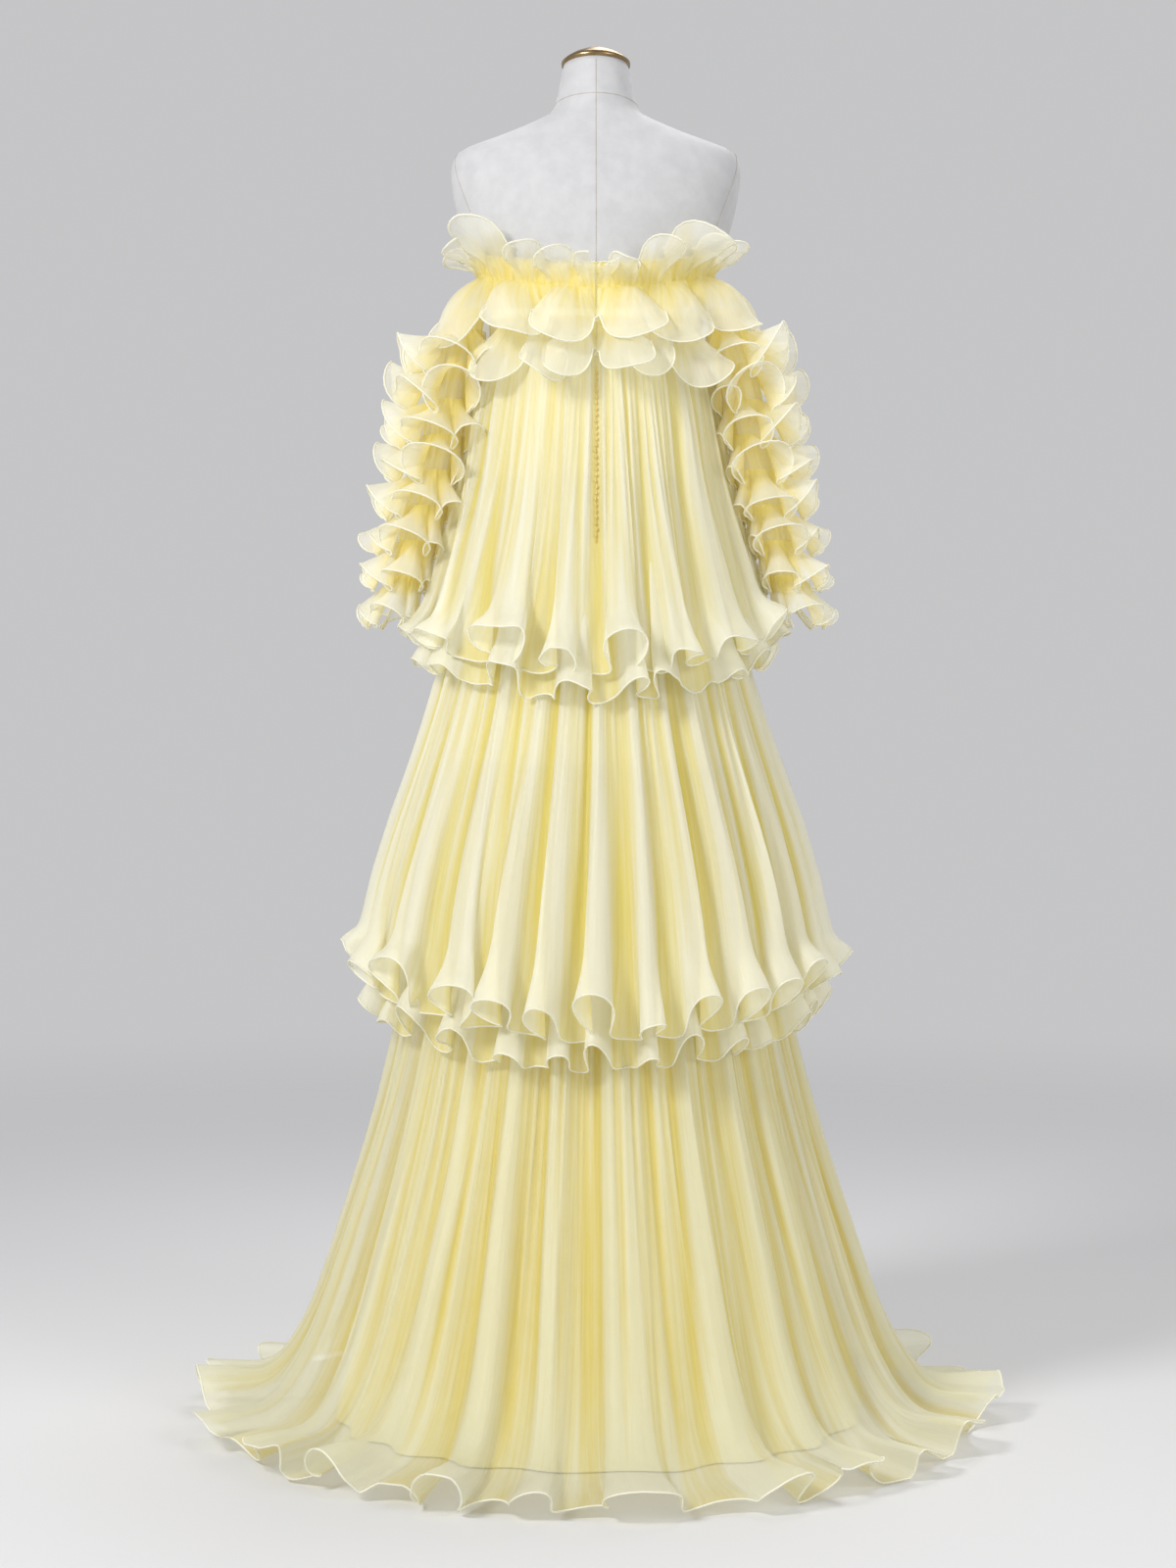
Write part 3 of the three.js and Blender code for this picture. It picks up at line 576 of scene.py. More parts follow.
def make_neck_cap():
    """A shallow dome on the neck's edge, with a lip round it."""
    angle = np.linspace(0, FULL_TURN, CAP_COLUMNS, endpoint=False)
    edge = at_heights(TORSO, TORSO["z"].max())
    count = len(NECK_CAP["up"])
    ring = {key: np.full(count, float(value)) for key, value in edge.items()}
    for key in ("side", "back", "front"):
        ring[key] = ring[key] * NECK_CAP["size"]
    ring["z"] = ring["z"] + NECK_CAP["up"]
    grid = ring_points(ring, angle)[::-1]
    finish_piece(build_mesh("neck_cap", [(grid, True, 0, 1)], [BRASS]), "brass", "form_neck_cap")


def seam_line(z, angle):
    """A seam's thread on the torso, through a height and an angle for each point."""
    rings = at_heights(TORSO, z)
    points = []
    for index, a in enumerate(angle):
        ring = {key: column[index] for key, column in rings.items()}
        points.append(ring_points(ring, a, SEAM_OUT).reshape(3))
    return thread(np.array(points), SEAM_RADIUS)


def make_form_seams():
    """The centre seams, the neck seam and the seam round each arm plate."""
    turn = np.linspace(0, FULL_TURN, SEAM_POINTS)
    seams = []
    for angle in (0, math.pi):
        z = np.linspace(CENTRE_SEAM_TOP, CENTRE_SEAM_BOTTOM, SEAM_POINTS)
        seams.append(seam_line(z, np.full(SEAM_POINTS, angle)))
    seams.append(seam_line(NECK_SEAM + NECK_SEAM_TILT * np.cos(turn), turn))
    for hand in (1, -1):
        z = ARM_PLATE_MIDDLE + ARM_PLATE_REACH * np.cos(turn)
        up = (z - ARM_PLATE_MIDDLE + ARM_PLATE_REACH) / (2 * ARM_PLATE_REACH)
        half_width = np.radians(mix(ARM_PLATE_LOW, ARM_PLATE_HIGH, up)) * np.sin(turn)
        seams.append(seam_line(z, hand * (math.pi / 2 + half_width)))
    finish_piece(build_mesh("form_seams", seams, [SEAM_THREAD]), "linen")


# Rings of the layers that lie on the torso and on the slip

def line_ring(body, heights, out):
    """A ring that stands out from a body and whose height differs at the side, the back and the front."""
    side, back, front = (at_heights(body, z) for z in heights)
    sizes = [side["side"] + out, back["back"] + out, front["front"] + out]
    return [float(value) for value in (*heights, *sizes, 0, 0, 0)]


SLIP_TOP = [line_ring(TORSO, line, ON_FORM) for line in (BODICE_TOP, CHEST, UNDERARM)]
SLIP_RINGS = table(RING_KEYS, SLIP_TOP + SLIP)
TIER_1_TOP = [line_ring(SLIP_RINGS, line, 2 * STACK) for line in (TIER_1_SEAM_TOP, TIER_1_SEAM)]
TIER_1_RINGS = table(RING_KEYS, TIER_1_TOP + TIER_1)


def fluted(flutes, start, per_flute):
    """Arrays with a value for each column: angle, place in its flute's wave, width, and shares of out
    and lift."""
    share = np.arange(per_flute) / per_flute
    columns = {key: [] for key in ("angle", "turn", "wide", "out", "lift")}
    at = start
    for wide, out, lift in flutes:
        columns["angle"].append(np.radians(at + wide * share))
        columns["turn"].append((share - 0.5) * FULL_TURN)
        for key, value in (("wide", math.radians(wide)), ("out", out), ("lift", lift)):
            columns[key].append(np.full(per_flute, value))
        at += wide
    return {key: np.concatenate(column) for key, column in columns.items()}


def valley_near(flutes, start, per_flute, degrees):
    """The column of the valley between two flutes that lies nearest to an angle."""
    edges = start + np.cumsum([0] + [flute[0] for flute in flutes])
    return int(np.argmin(np.abs(edges - degrees))) * per_flute


# Folds and hems of the layers
ROWS_TO_HEM = 1.35  # how much closer together the rows lie near the hem
FOLDS_OPEN = 0.45  # share of the way down in which the small folds open out of the seam
FOLDS_AT_SEAM = 0.12  # share of that opening that they already have at the seam
CLOSURE_REACH = 0.035  # sine of half the angle beside the closure where the folds are whole again
CURLS = (0.7, 1.45)  # least and most share of its ring's curl that a flute has
DROPS = (-0.012, 0.010)  # least and most that a flute's hem drops
LEANS = 0.09  # spread of how far the crests lean sideways at the hem, in widths of their flutes
SWAY = 0.012  # how far several flutes sway together at the hem
HEM_FLARE = 0.010  # how far a crest flares out at the hem


def small_folds(angle, down, look):
    """Heights of the folds between the flutes: long ones, narrow ones and wide ripples."""
    seed = look["seed"]
    long = pleats(angle, down, seed, look["long_count"], (0.7, 1.6), 0.5, (0.35, 0.75))
    narrow = pleats(angle, down, seed + 3, look["narrow_count"], (0.5, 1.5), 0.9, (0.5, 1.1), True)
    wide = ripples(angle + 0.02 * np.sin(4 * down), seed + 1, 9, 31)
    folds = long * look["long_height"] * mix(1, 0.5, down ** 3)
    folds = folds + narrow * look["narrow_height"] * mix(1, 0.5, down) + wide * look["wide"] * down
    from_closure = ease(np.abs(np.sin(angle / 2)) / CLOSURE_REACH)
    return folds * ease(down / FOLDS_OPEN + FOLDS_AT_SEAM) * (1 - look["closed"] * (1 - from_closure))


def layer_grid(rings, flutes, start, look):
    """The whole closed layer and its painted light and shade."""
    seed, per_flute, count = look["seed"], look["per_flute"], len(flutes)
    ring, down = down_the_cloth(table(RING_KEYS, rings), look["rows"], ROWS_TO_HEM)
    col = {key: value[:, None] for key, value in ring.items()}
    c = fluted(flutes, start, per_flute)
    crest = (1 + np.cos(c["turn"])) / 2
    depth = col["out"] * c["out"] * mix(0.75, 1, down ** 2)
    out = depth * crest ** mix(1.5, 0.9, down) + small_folds(c["angle"], down, look)
    out = out + HEM_FLARE * crest * near_hem(down, 0.88) ** 2
    curls = np.random.default_rng(seed + 4).uniform(*CURLS, count).repeat(per_flute)
    rng = np.random.default_rng(seed + 6)
    drops = rng.uniform(*DROPS, count).repeat(per_flute) * near_hem(down, 0.6)
    leans = rng.normal(0, LEANS, count).repeat(per_flute) * near_hem(down, 0.5)
    small_waves = np.clip(1 + ripples(c["angle"], seed + 7, 34, 60), 0, 2.2) * near_hem(down, 0.85)
    up = (col["lift"] * c["lift"] - drops) * crest ** 1.5 + small_waves * look["hem"]
    sway = ripples(c["angle"], seed + 2, 3, 9) * SWAY * down ** 2
    width = c["wide"] * mix(col["side"], col["back"], 0.5)
    along = col["curl"] * curls * width * np.sin(2 * c["turn"]) + (sway + leans * width) * crest
    # Painted shade in the hollows between the folds and a painted highlight on their ridges, and paler
    # cloth towards the hem
    painted_light = painted_light_from_relief(out) * 0.8 + 0.2 * near_hem(down, 0.75)
    return ring_points(ring, c["angle"], out, up, along), painted_light


def cloth_sheet(grid, closed=False, curved=False):
    """Works out a sheet's flat cut: as wide as its longer edge, as long as its longest drop, and with the
    area that the flared panel has in it. A strip cut in a curve is as wide as its rows are on average. The
    rounded values are then dropped, not stated or kept."""
    def length(line):
        ends = np.concatenate([line, line[:1]]) if closed else line
        return np.linalg.norm(np.diff(ends, axis=0), axis=-1).sum()

    lengths = [length(row) for row in grid]
    width = np.mean(lengths) if curved else max(lengths[0], lengths[-1])
    drop = np.linalg.norm(np.diff(grid, axis=0), axis=-1).sum(axis=0).max()
    round_it = np.concatenate([grid, grid[:, :1]], axis=1) if closed else grid
    across = np.diff(round_it, axis=1)
    down = np.diff(round_it, axis=0)
    area = np.linalg.norm(np.cross(across[:-1], down[:, :-1]), axis=-1).sum()
    width, drop, area = round(float(width), 3), round(float(drop), 3), round(float(area), 4)


# Panels of a layer: the end of the name, and the angles where the panel starts and ends
HALVES = [("_front", 90, 270), ("_back", 270, 450)]
QUARTERS = [
    ("_back_right", 0, 90),
    ("_front_right", 90, 180),
    ("_front_left", 180, 270),
    ("_back_left", 270, 360),
]
OPEN_BACK = [("_back_right", 0, 90), ("_front", 90, 270), ("_back_left", 270, 360)]
SLIP_BANDS = [("slip_bodice", HALVES), ("slip_hip", QUARTERS), ("slip_skirt", QUARTERS)]
SLIP_COLUMNS = 180
SLIP_ROWS = 90
SLIP_WAVES = 0.004  # height of the slip's soft waves
SLIP_FLARE = 0.010  # mean depth of the waves at its hem
WAIST = 1.2  # above it the slip is nowhere narrower than the torso in it


def make_slip():
    """The slip, in bands that meet where the second and the third tier are sewn on."""
    ring, down = down_the_cloth(SLIP_RINGS, SLIP_ROWS)
    body = at_heights(TORSO, ring["z"])
    for key in ("side", "back", "front"):
        ring[key] = np.where(ring["z"] > WAIST, np.maximum(ring[key], body[key] + ON_FORM), ring[key])
    angle = np.arange(SLIP_COLUMNS) / SLIP_COLUMNS * FULL_TURN
    soft = SLIP_WAVES * ripples(angle, 5, 8, 26) * ease((down - 0.25) / 0.4)
    flare = SLIP_FLARE * (1 + ripples(angle, 6, 9, 30)) * near_hem(down, 0.8)
    grid = ring_points(ring, angle, soft + flare)
    seams = [int(np.argmin(np.abs(ring["z"] - z))) for z in (TIER_2_SEAM[0], TIER_3_SEAM[0])]
    rows = [slice(0, seams[0] + 1), slice(seams[0], seams[1] + 1), slice(seams[1], len(grid))]
    for (name, panels), band in zip(SLIP_BANDS, rows):
        for end, low, high in panels:
            first, last = low * SLIP_COLUMNS // 360, high * SLIP_COLUMNS // 360
            part = grid[band, np.arange(first, last + 1) % SLIP_COLUMNS]
            piece = build_mesh(name + end + "_cloth", [(part, False, 0, 0.6)], [SLIP_CLOTH])
            finish_piece(piece, "lining", name + end)
            cloth_sheet(part)


BAND_COLUMNS = 900
BAND_GATHERS = 170
BAND_HEM_RADIUS = 0.0009
GATHER_HEIGHT, GATHER_RIPPLE = 0.0016, 0.0006


def make_neckband():
    """The gathered band on the slip's upper edge."""
    lines = [line_ring(TORSO, line, ON_FORM + STACK) for line in (BODICE_TOP, CHEST, BAND_BOTTOM)]
    ring, down = down_the_cloth(table(RING_KEYS, lines), 16)
    angle = np.linspace(OPENING, FULL_TURN - OPENING, BAND_COLUMNS)
    gathers = GATHER_HEIGHT * pleats(angle, down * 0, 11, BAND_GATHERS, (1, 2), 0)
    gathers = gathers + GATHER_RIPPLE * ripples(angle + 0.05 * np.sin(9 * down), 12, 60, 140)
    grid = ring_points(ring, angle, gathers)
    # Painted shade between the gathers and a paler painted highlight on their ridges, at most 0.6
    painted_light = np.clip(gathers / 0.002, 0, 0.6)
    grids = [(grid, False, 0, painted_light), hem_roll(grid[::-1], False, BAND_HEM_RADIUS)]
    piece = build_mesh("neckband_cloth", grids, [RUFFLE_CLOTH, HEM_CLOTH])
    finish_piece(piece, "organza", "neckband")
    cloth_sheet(grid)


# Of each layer: columns to a flute, rows, seed, number and height of its long folds and of its narrow
# ones, heights of its wide ripples and of its hem's small waves, and 1 where a closure holds it flat
LOOK_KEYS = "per_flute rows seed long_count long_height narrow_count narrow_height wide hem closed"
LOOKS = {
    "tier_3": (52, 100, 31, 58, 0.013, 210, 0.0060, 0.0030, 0.009, 0),
    "tier_2_under": (20, 50, 21, 50, 0.005, 90, 0.0020, 0.0020, 0.004, 0),
    "tier_2": (36, 84, 22, 60, 0.011, 180, 0.0056, 0.0025, 0.004, 0),
    "tier_1_under": (24, 44, 11, 40, 0.003, 60, 0.0010, 0.0015, 0.004, 0),
    "tier_1": (50, 72, 12, 40, 0.008, 150, 0.0052, 0.0020, 0.004, 1),
}


def make_layer(name, panels, rings, flutes, start, cloth):
    """A layer's panels, each from the valley nearest its first angle to the one nearest its last."""
    look = dict(zip(LOOK_KEYS.split(), LOOKS[name]))
    per_flute = look["per_flute"]
    grid, painted_light = layer_grid(rings, flutes, start, look)
    count = grid.shape[1]
    for end, low, high in panels:
        first = valley_near(flutes, start, per_flute, low)
        last = valley_near(flutes, start, per_flute, high if high < 360 else high - 360)
        last = last + count if last <= first else last
        columns = np.arange(first, last + 1) % count
        part = grid[:, columns]
        grids = [(part, False, 0, painted_light[:, columns]), hem_roll(part, False)]
        piece = build_mesh(name + end + "_cloth", grids, [cloth, HEM_CLOTH])
        finish_piece(piece, "organza", name + end)
        cloth_sheet(part)


def make_tiers():
    """The layers of the three tiers, from the floor up, each with its seam above its own rings."""
    third = [line_ring(SLIP_RINGS, TIER_3_SEAM, STACK)] + TIER_3
    second_under = [line_ring(SLIP_RINGS, TIER_2_SEAM, STACK)] + TIER_2_UNDER
    second = [line_ring(SLIP_RINGS, TIER_2_SEAM, 2 * STACK)] + TIER_2
    first_under = [line_ring(SLIP_RINGS, TIER_1_SEAM, STACK)] + TIER_1_UNDER
    first = TIER_1_TOP + TIER_1
    make_layer("tier_3", QUARTERS, third, TIER_3_FLUTES, TIER_3_START, SHADED_SKIRT_CLOTH)
    make_layer("tier_2_under", HALVES, second_under, TIER_2_FLUTES, TIER_2_START, TIER_CLOTH)
    make_layer("tier_2", HALVES, second, TIER_2_FLUTES, TIER_2_START, TIER_CLOTH)
    make_layer("tier_1_under", HALVES, first_under, TIER_1_FLUTES, TIER_1_START, TIER_CLOTH)
    make_layer("tier_1", OPEN_BACK, first, TIER_1_FLUTES, TIER_1_START, TIER_CLOTH)


# Ruffles

def petal_swing(reach, crest, low, high, profile):
    """How far a petal swings out, in radians. Between the petals it hangs at the angle low."""
    return mix(low, high * np.interp(reach, PETAL_PLACES, profile), crest)


def petal_length(off, lap, least):
    """A petal's length at a distance from its middle, in petals, so that its rim is round where the
    petal has spread over the next one by lap."""
    aside = np.abs(off)
    spread = (aside + lap * np.sin(FULL_TURN * aside)) / (0.25 + lap)
    spread = np.where(aside < 0.25, spread, 1)
    return mix(least, 1, np.sqrt(np.clip(1 - spread ** 2, 0, 1)))


def summed(step):
    """Lengths from the gathers down to each row."""
    return np.cumsum(step, axis=0) - step[:1]


RUFFLE_ROWS = 18
OPENED = (0.75, 1.15)  # least and most share of its full swing that a petal has
CREST_SHIFT = 0.7  # how far the crests shift away from the centre back, in radians of their wave
FLUTTER = 0.10  # radians of swing in the small waves at a rim
CRIMP = 0.003  # height of the folds in the gathers
RIM_RIPPLE = 0.0012  # height of the small waves at a rim
CRIMPS_TO_PETAL = 9
PETAL_LEAST = 0.45  # share of a petal's length that is left between two petals


def ruffle_side(line, ends, petals, columns, rows, length, angles, profile, lap, seed, above, side_low=0.0):
    """One free side of a ruffle that is gathered on a ring's line. angles has the swing between the
    petals and at their middle, and side_low is added to the first at the sides. lap is how far each
    petal spreads over the next one, as a share of its width. Above the gathers a petal's middle lies
    where its width in the table starts."""
    low, high = np.radians(angles)
    count = len(petals)
    first = 0 if above else 0.5  # where the first petal's middle lies
    wide, shares, lean = np.array(petals).T
    wide = wide / wide.sum() * (ends[1] - ends[0])
    edges = ends[0] + np.concatenate([[0], np.cumsum(wide)])
    angle = np.linspace(ends[0], ends[1], columns + 1)
    place = np.interp(angle, edges, np.arange(count + 1))
    petal = np.minimum((place + 0.5 - first).astype(int), count - 1)
    rng = np.random.default_rng(seed)
    middles = np.arange(count) + first
    smooth = np.interp(place, middles, shares)
    opened = np.interp(place, middles, rng.uniform(*OPENED, count))
    off = place - np.round(place - first) - first
    over = CREST_SHIFT * np.where(np.sin(angle) > 0, 1, -1) * ease(np.abs(np.sin(angle)) / 0.25)
    turn = (place + first) * FULL_TURN
    crest = (1 + np.cos(turn - over)) / 2
    reach = np.linspace(0, 1, rows)[:, None]
    swing = petal_swing(reach, crest, low + side_low * np.sin(angle) ** 4, high * opened, profile)
    swing = swing + FLUTTER * ripples(angle, seed + 5, 20, 50) * reach
    step = length * smooth * petal_length(off, lap, PETAL_LEAST) / (rows - 1)
    out, fall = summed(np.sin(swing) * step), summed(np.cos(swing) * step)
    width = wide[petal] * (0.5 * (line["side"] + line["back"]) + out)
    along = lap * width * reach ** 1.15 * np.sin(turn) + lean[petal] * length * reach ** 1.5 * crest
    crimp = CRIMP * pleats(angle, np.zeros((1, 1)), seed + 7, count * CRIMPS_TO_PETAL, (1, 2))
    crimp = crimp * (1 - ease(reach / 0.6)) + RIM_RIPPLE * ripples(angle, seed + 8, 30, 90) * reach
    # Painted shade at the gathers and between the petals, and a painted highlight towards the rims, on the
    # crests and on the crimps
    painted_light = np.clip(reach ** 0.9 * mix(0.35, 1, crest) + crimp * 40, 0, 1)
    return ring_points(line, angle, out + crimp, fall if above else -fall, along), painted_light


def ring_dict(values):
    """One ring's values by the names of their columns."""
    return dict(zip(RING_KEYS.split(), values))


SIDE_SWING = math.radians(20)  # added to the upper ruffle's swing between its petals at the sides


def make_upper_ruffle():
    """The ruffle round the neckline, gathered along its middle, with petals above and below."""
    line = ring_dict(line_ring(TORSO, UPPER_RUFFLE_LINE, ON_FORM + 2 * STACK))
    ends = (OPENING, FULL_TURN - OPENING)
    above, above_painted_light = ruffle_side(
        line, ends, PETALS_ABOVE, columns=600, rows=RUFFLE_ROWS, length=0.080, angles=(6, 66),
        profile=OPENING_OUT, lap=0.30, seed=41, above=True, side_low=SIDE_SWING,
    )
    below, below_painted_light = ruffle_side(
        line, ends, PETALS_BELOW, columns=600, rows=RUFFLE_ROWS, length=0.100, angles=(10, 78),
        profile=HANGING, lap=0.32, seed=42, above=False, side_low=SIDE_SWING,
    )
    grid = np.concatenate([above[::-1], below[1:]])
    painted_light = np.concatenate([above_painted_light[::-1], below_painted_light[1:]])
    grids = [(grid, False, 0, painted_light), hem_roll(grid, False), hem_roll(grid[::-1], False)]
    piece = build_mesh("neck_ruffle_upper_cloth", grids, [RUFFLE_CLOTH, HEM_CLOTH])
    finish_piece(piece, "organza", "neck_ruffle_upper")
    cloth_sheet(grid, curved=True)


def make_lower_ruffle():
    """The ruffle under it, in three pieces between the sleeves and the back opening."""
    line = ring_dict(line_ring(SLIP_RINGS, TIER_1_SEAM_TOP, 3 * STACK))
    rows = [
        ("neck_ruffle_lower_right", (OPENING, LOWER_REACH), LOWER_PETALS_RIGHT),
        ("neck_ruffle_lower_front", (math.pi - LOWER_REACH, math.pi + LOWER_REACH), LOWER_PETALS_FRONT),
        ("neck_ruffle_lower_left", (FULL_TURN - LOWER_REACH, FULL_TURN - OPENING), LOWER_PETALS_LEFT),
    ]
    for index, (node, ends, petals) in enumerate(rows):
        grid, painted_light = ruffle_side(
            line, ends, petals, columns=48 * len(petals), rows=20, length=0.108, angles=(10, 62),
            profile=CONES, lap=0.36, seed=51 + index, above=False,
        )
        grids = [(grid, False, 0, painted_light), hem_roll(grid, False)]
        piece = build_mesh(node + "_cloth", grids, [RUFFLE_CLOTH, HEM_CLOTH])
        finish_piece(piece, "organza", node)
        cloth_sheet(grid, curved=True)


# Sleeves

def sleeve_points(z, direction, out, hand):
    """Points of a sleeve moved out across it. A direction of 0 points away from the body."""
    row = at_heights(SLEEVE, z)
    beside = at_heights(TIER_1_RINGS, z)
    near = beside["side"] + beside["out"] * SIDE_FLUTE + WALL + row["gap"]
    c, s = np.cos(direction), np.sin(direction)
    across_x, across_y = row["depth"] * c, row["width"] * s
    length = np.hypot(across_x, across_y)
    x = near + row["width"] * (1 + c) + across_x / length * out
    y = row["depth"] * s + across_y / length * out
    return np.stack(np.broadcast_arrays(AXIS.x + hand * x, AXIS.y + y, z), axis=-1)


SLEEVE_COLUMNS = 96
SLEEVE_ROWS = 60
SLEEVE_RIPPLE = 0.0015


def make_sleeve_tube(name, hand):
    z = np.linspace(SLEEVE["z"].max(), SLEEVE["z"].min(), SLEEVE_ROWS)[:, None]
    direction = np.arange(SLEEVE_COLUMNS) / SLEEVE_COLUMNS * FULL_TURN
    soft = SLEEVE_RIPPLE * ripples(direction, 61, 5, 14) * np.ones_like(z)
    grid = sleeve_points(z, direction, soft, hand)
    grid = grid[:, ::-1] if hand < 0 else grid
    # The tube under the frills is painted deep shade all over.
    grids = [(grid, True, 0, 0.1), hem_roll(grid, True)]
    piece = build_mesh(name + "_cloth", grids, [RUFFLE_CLOTH, HEM_CLOTH])
    finish_piece(piece, "organza", name)
    cloth_sheet(grid, True)


ROWS_DOWN_FRILL = 14
PETAL_COLUMNS = 26
HIGHEST_SWING, LOWEST_SWING = FRILL_ROWS[0][2], FRILL_ROWS[-1][2]
FULL_LOW, FULL_HIGH = 42, 100  # degrees that the petals of the lowest and the highest frill swing out
VALLEY_LENGTH = 1.35  # share of the frill's length between its petals
FRILL_CRIMPS = 46


def make_frill(name, hand, row):
    """One closed frill round a sleeve. It swings out least next to the body."""
    count = 2 * FRILL_WAVES
    rng = np.random.default_rng(700 + row + (50 if hand < 0 else 0))
    z_top, low, high = FRILL_ROWS[row]
    place = np.arange(count * PETAL_COLUMNS) / PETAL_COLUMNS
    petal = (place + 0.5).astype(int) % count
    off = place - np.round(place)
    wide_wave = (1 - np.cos(place / 2 * FULL_TURN)) / 2
    direction = (place + row + rng.uniform(-0.3, 0.3)) * FULL_TURN / count
    near = ((1 - np.cos(direction)) / 2) ** 3.5
    turn = place * FULL_TURN
    crest = (1 + np.cos(turn - 0.6)) / 2
    reach = np.linspace(0, 1, ROWS_DOWN_FRILL)[:, None]
    share = mix(VALLEY_LENGTH, rng.uniform(0.75, 1.10, count)[petal], crest)
    length = FRILL_DOWN * petal_length(off, FRILL_LAP, 0.85) * share
    full = mix(FULL_LOW, FULL_HIGH, (high - LOWEST_SWING) / (HIGHEST_SWING - LOWEST_SWING))
    full = np.radians(full * mix(0.80, 1.08, wide_wave))
    full = full * rng.uniform(0.9, 1.1, count)[petal]
    swing = petal_swing(reach, crest, np.radians(low * 0.5), full, STANDING_OUT)
    swing = mix(swing, math.radians(NEAR_BODY), near)
    step = length / (ROWS_DOWN_FRILL - 1)
    out, fall = summed(np.sin(swing) * step), summed(np.cos(swing) * step)
    petal_angle = FULL_TURN / count
    spread = FRILL_LAP * petal_angle * reach ** 1.15 * np.sin(turn) * (1 - near)
    lean = rng.normal(0, 0.10, count)[petal] * petal_angle * reach ** 1.5 * crest * (1 - near)
    # Painted shade at the gathers, between the petals and next to the body, and a painted highlight towards
    # the rims on the crests
    painted_light = np.clip(reach ** 0.9 * mix(0.3, 1, crest), 0, 1) * (1 - 0.6 * near)
    crimp = pleats(direction, np.zeros((1, 1)), row + 90, FRILL_CRIMPS, (1, 2)) * 0.002
    crimp = crimp * (1 - ease(reach / 0.5))
    grid = sleeve_points(z_top - fall, direction + spread + lean, FRILL_STAND + out + crimp, hand)
    if hand < 0:
        grid, painted_light = grid[:, ::-1], painted_light[:, ::-1]
    node = f"{name}_frill_{row + 1}"
    grids = [(grid, True, 0, painted_light), hem_roll(grid, True)]
    piece = build_mesh(node + "_cloth", grids, [RUFFLE_CLOTH, HEM_CLOTH])
    finish_piece(piece, "organza", node)
    cloth_sheet(grid, True, True)


def make_sleeves():
    for name, hand in (("sleeve_right", 1), ("sleeve_left", -1)):
        make_sleeve_tube(name, hand)
        for row in range(len(FRILL_ROWS)):
            make_frill(name, hand, row)


ZIP_TOP, ZIP_BOTTOM = 1.372, 1.142
ZIP_POINTS = 60
ZIP_RADIUS = 0.0007
ZIP_OUT = 0.0012  # from the first tier's cloth
STITCH_RADIUS = 0.0012
STITCH_OUT = 0.0016  # from the slit
STITCH_SPREAD = 0.0006  # how far the stitches stray sideways


def make_back_closure():
    """The zip's closed slit and the golden stitches along it."""
    z = np.linspace(ZIP_TOP, ZIP_BOTTOM, ZIP_POINTS)
    rings = at_heights({**TIER_1_RINGS, "z": TIER_1_RINGS["z_back"]}, z)
    rings["z_back"] = z
    line = ring_points(rings, np.zeros(1), ZIP_OUT)[:, 0]
    grids = [thread(line, ZIP_RADIUS)]
    rng = np.random.default_rng(81)
    for index in range(2, ZIP_POINTS - 2, 2):
        shift = (rng.normal(0, STITCH_SPREAD), -STITCH_OUT, 0)
        grids.append(thread(line[index:index + 2] + shift, STITCH_RADIUS))
    finish_piece(build_mesh("back_zip_line", grids, [GOLD_THREAD]), "zip", "back_zip")


# Setting

def finish_stand():
    """The pole and the base keep their solids and get a material."""
    for node in ("form_pole", "form_base"):
        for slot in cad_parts[node].material_slots:
            slot.material = GREY_STEEL


FLOOR_CLEAR, FLOOR_GONE = 0.9, 5.0  # the floor fades out between these distances


def make_floor():
    material, tree, output = new_material("pale_floor")
    shader = tree.nodes.new("ShaderNodeBsdfPrincipled")
    shader.inputs["Base Color"].default_value = (0.74, 0.74, 0.75, 1)
    shader.inputs["Roughness"].default_value = 0.8
    place = tree.nodes.new("ShaderNodeTexCoord")
    distance = tree.nodes.new("ShaderNodeVectorMath")
    distance.operation = "LENGTH"
    tree.links.new(place.outputs["Object"], distance.inputs[0])
    fade = tree.nodes.new("ShaderNodeMapRange")
    fade.interpolation_type = "SMOOTHSTEP"
    fade.inputs["From Min"].default_value = FLOOR_CLEAR
    fade.inputs["From Max"].default_value = FLOOR_GONE
    tree.links.new(distance.outputs["Value"], fade.inputs["Value"])
    seen = tree.nodes.new("ShaderNodeMixShader")
    tree.links.new(fade.outputs["Result"], seen.inputs["Fac"])
    tree.links.new(shader.outputs[0], seen.inputs[1])
    tree.links.new(tree.nodes.new("ShaderNodeBsdfTransparent").outputs[0], seen.inputs[2])
    tree.links.new(seen.outputs[0], output.inputs["Surface"])
    corners = [(x * FLOOR_GONE, y * FLOOR_GONE, 0) for x, y in ((-1, -1), (1, -1), (1, 1), (-1, 1))]
    mesh = bpy.data.meshes.new("floor")
    mesh.from_pydata(corners, [], [(0, 1, 2, 3)])
    mesh.materials.append(material)
    floor = bpy.data.objects.new("floor", mesh)
    bpy.context.scene.collection.objects.link(floor)


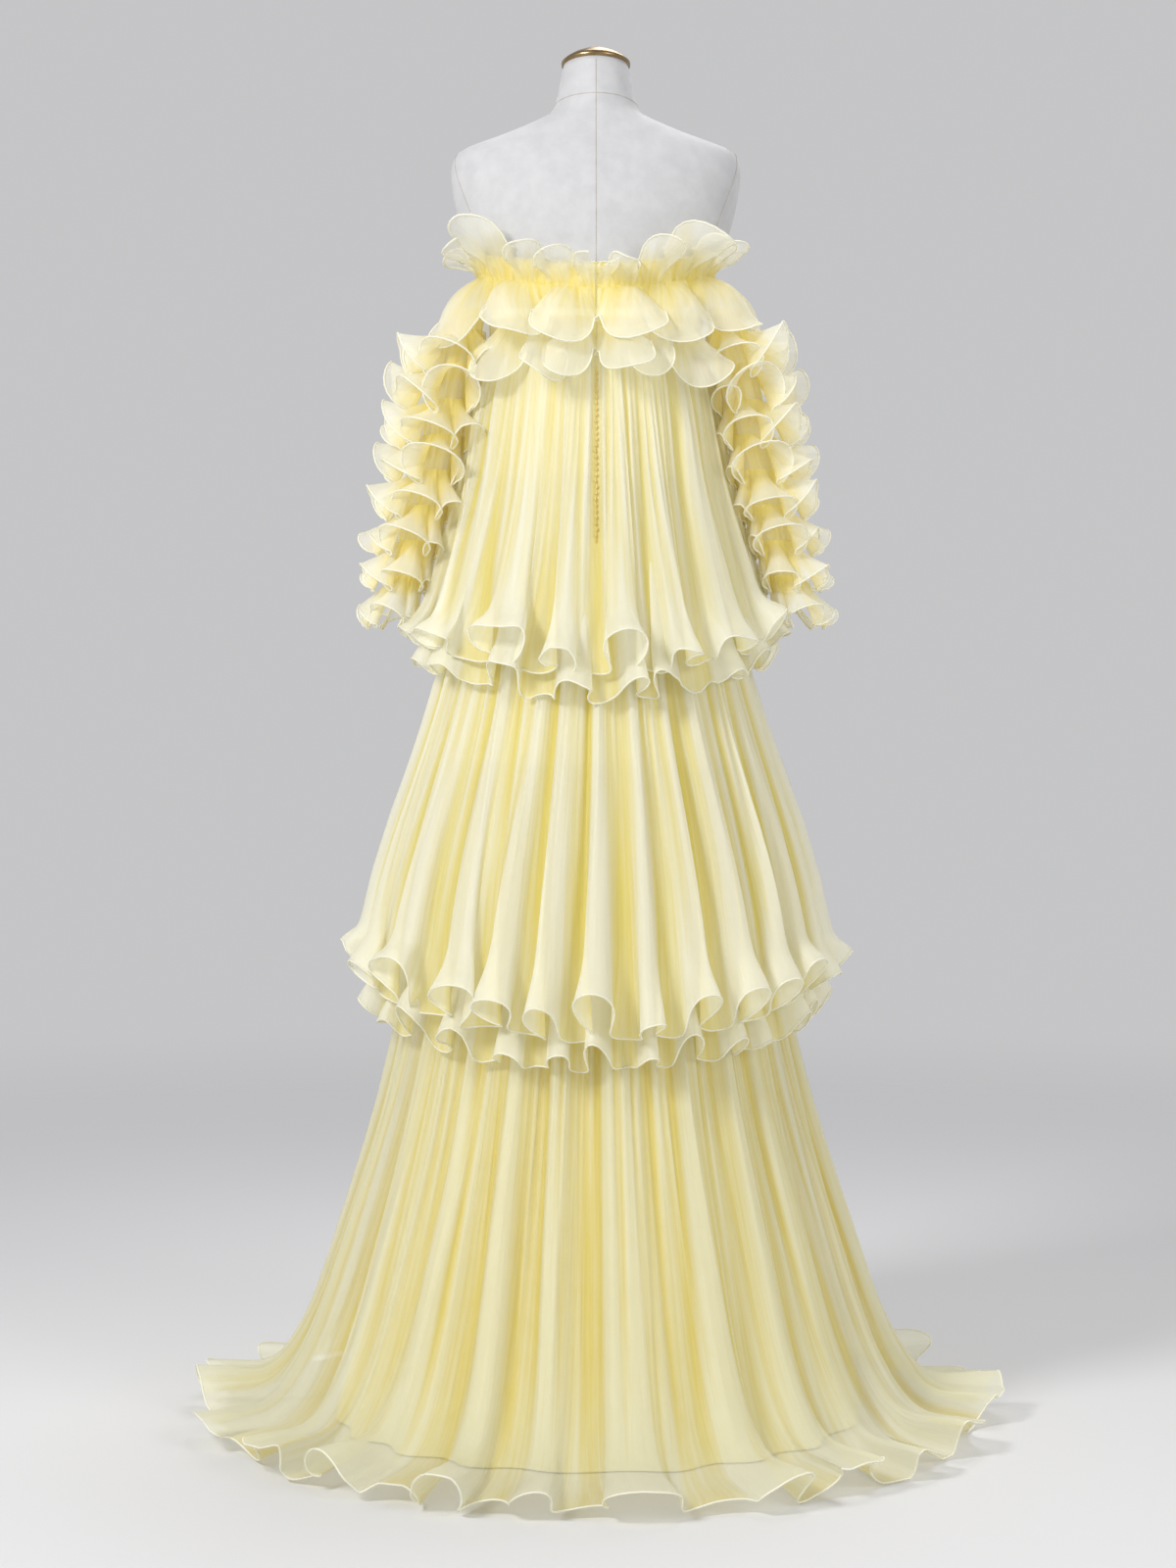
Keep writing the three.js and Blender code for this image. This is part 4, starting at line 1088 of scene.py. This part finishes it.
def add_light(name, place, target, size, power):
    data = bpy.data.lights.new(name, "AREA")
    data.size = size
    data.energy = power
    light = bpy.data.objects.new(name, data)
    light.location = place
    light.rotation_euler = (Vector(target) - Vector(place)).to_track_quat("-Z", "Y").to_euler()
    bpy.context.scene.collection.objects.link(light)


def make_lights():
    world = bpy.data.worlds.new("studio")
    world.use_nodes = True
    tree = world.node_tree
    background = tree.nodes["Background"]
    background.inputs["Strength"].default_value = 1.0
    height = tree.nodes.new("ShaderNodeSeparateXYZ")
    tree.links.new(tree.nodes.new("ShaderNodeTexCoord").outputs["Generated"], height.inputs[0])
    colour = colour_between(tree, height.outputs["Z"], (0.56, 0.56, 0.57), (0.30, 0.30, 0.31), 0.45, 0.75)
    tree.links.new(colour, background.inputs["Color"])
    bpy.context.scene.world = world
    add_light("key", (-2.4, -2.6, 3.0), (0, 0, 1.1), 1.0, 120)
    add_light("fill", (2.8, -2.8, 2.2), (0, 0, 1.2), 1.6, 48)
    add_light("top", (0.6, 1.2, 3.4), (0, 0, 1.0), 1.6, 34)


HORIZON = 0.936  # the camera's height
DISTANCE = 4.0  # from the camera to the form's axis
LENS, SENSOR = 69.3, 36  # in millimetres
LOOK_DOWN = math.radians(1.49)
LEFT_OF_AXIS = 0.0104  # how far the camera stands to the left of the form's axis


def make_camera():
    data = bpy.data.cameras.new("camera")
    data.lens = LENS
    data.sensor_width = SENSOR
    camera = bpy.data.objects.new("camera", data)
    camera.location = (AXIS.x - LEFT_OF_AXIS, AXIS.y - DISTANCE, HORIZON)
    camera.rotation_euler = (math.pi / 2 - LOOK_DOWN, 0, 0)
    bpy.context.scene.collection.objects.link(camera)
    bpy.context.scene.camera = camera


make_camera()
make_lights()
make_floor()
make_torso()
make_neck_cap()
make_form_seams()
finish_stand()
make_slip()
make_neckband()
make_tiers()
make_upper_ruffle()
make_lower_ruffle()
make_sleeves()
make_back_closure()

bpy.context.scene.view_settings.view_transform = "Standard"
bpy.context.scene.cycles.transparent_max_bounces = 10
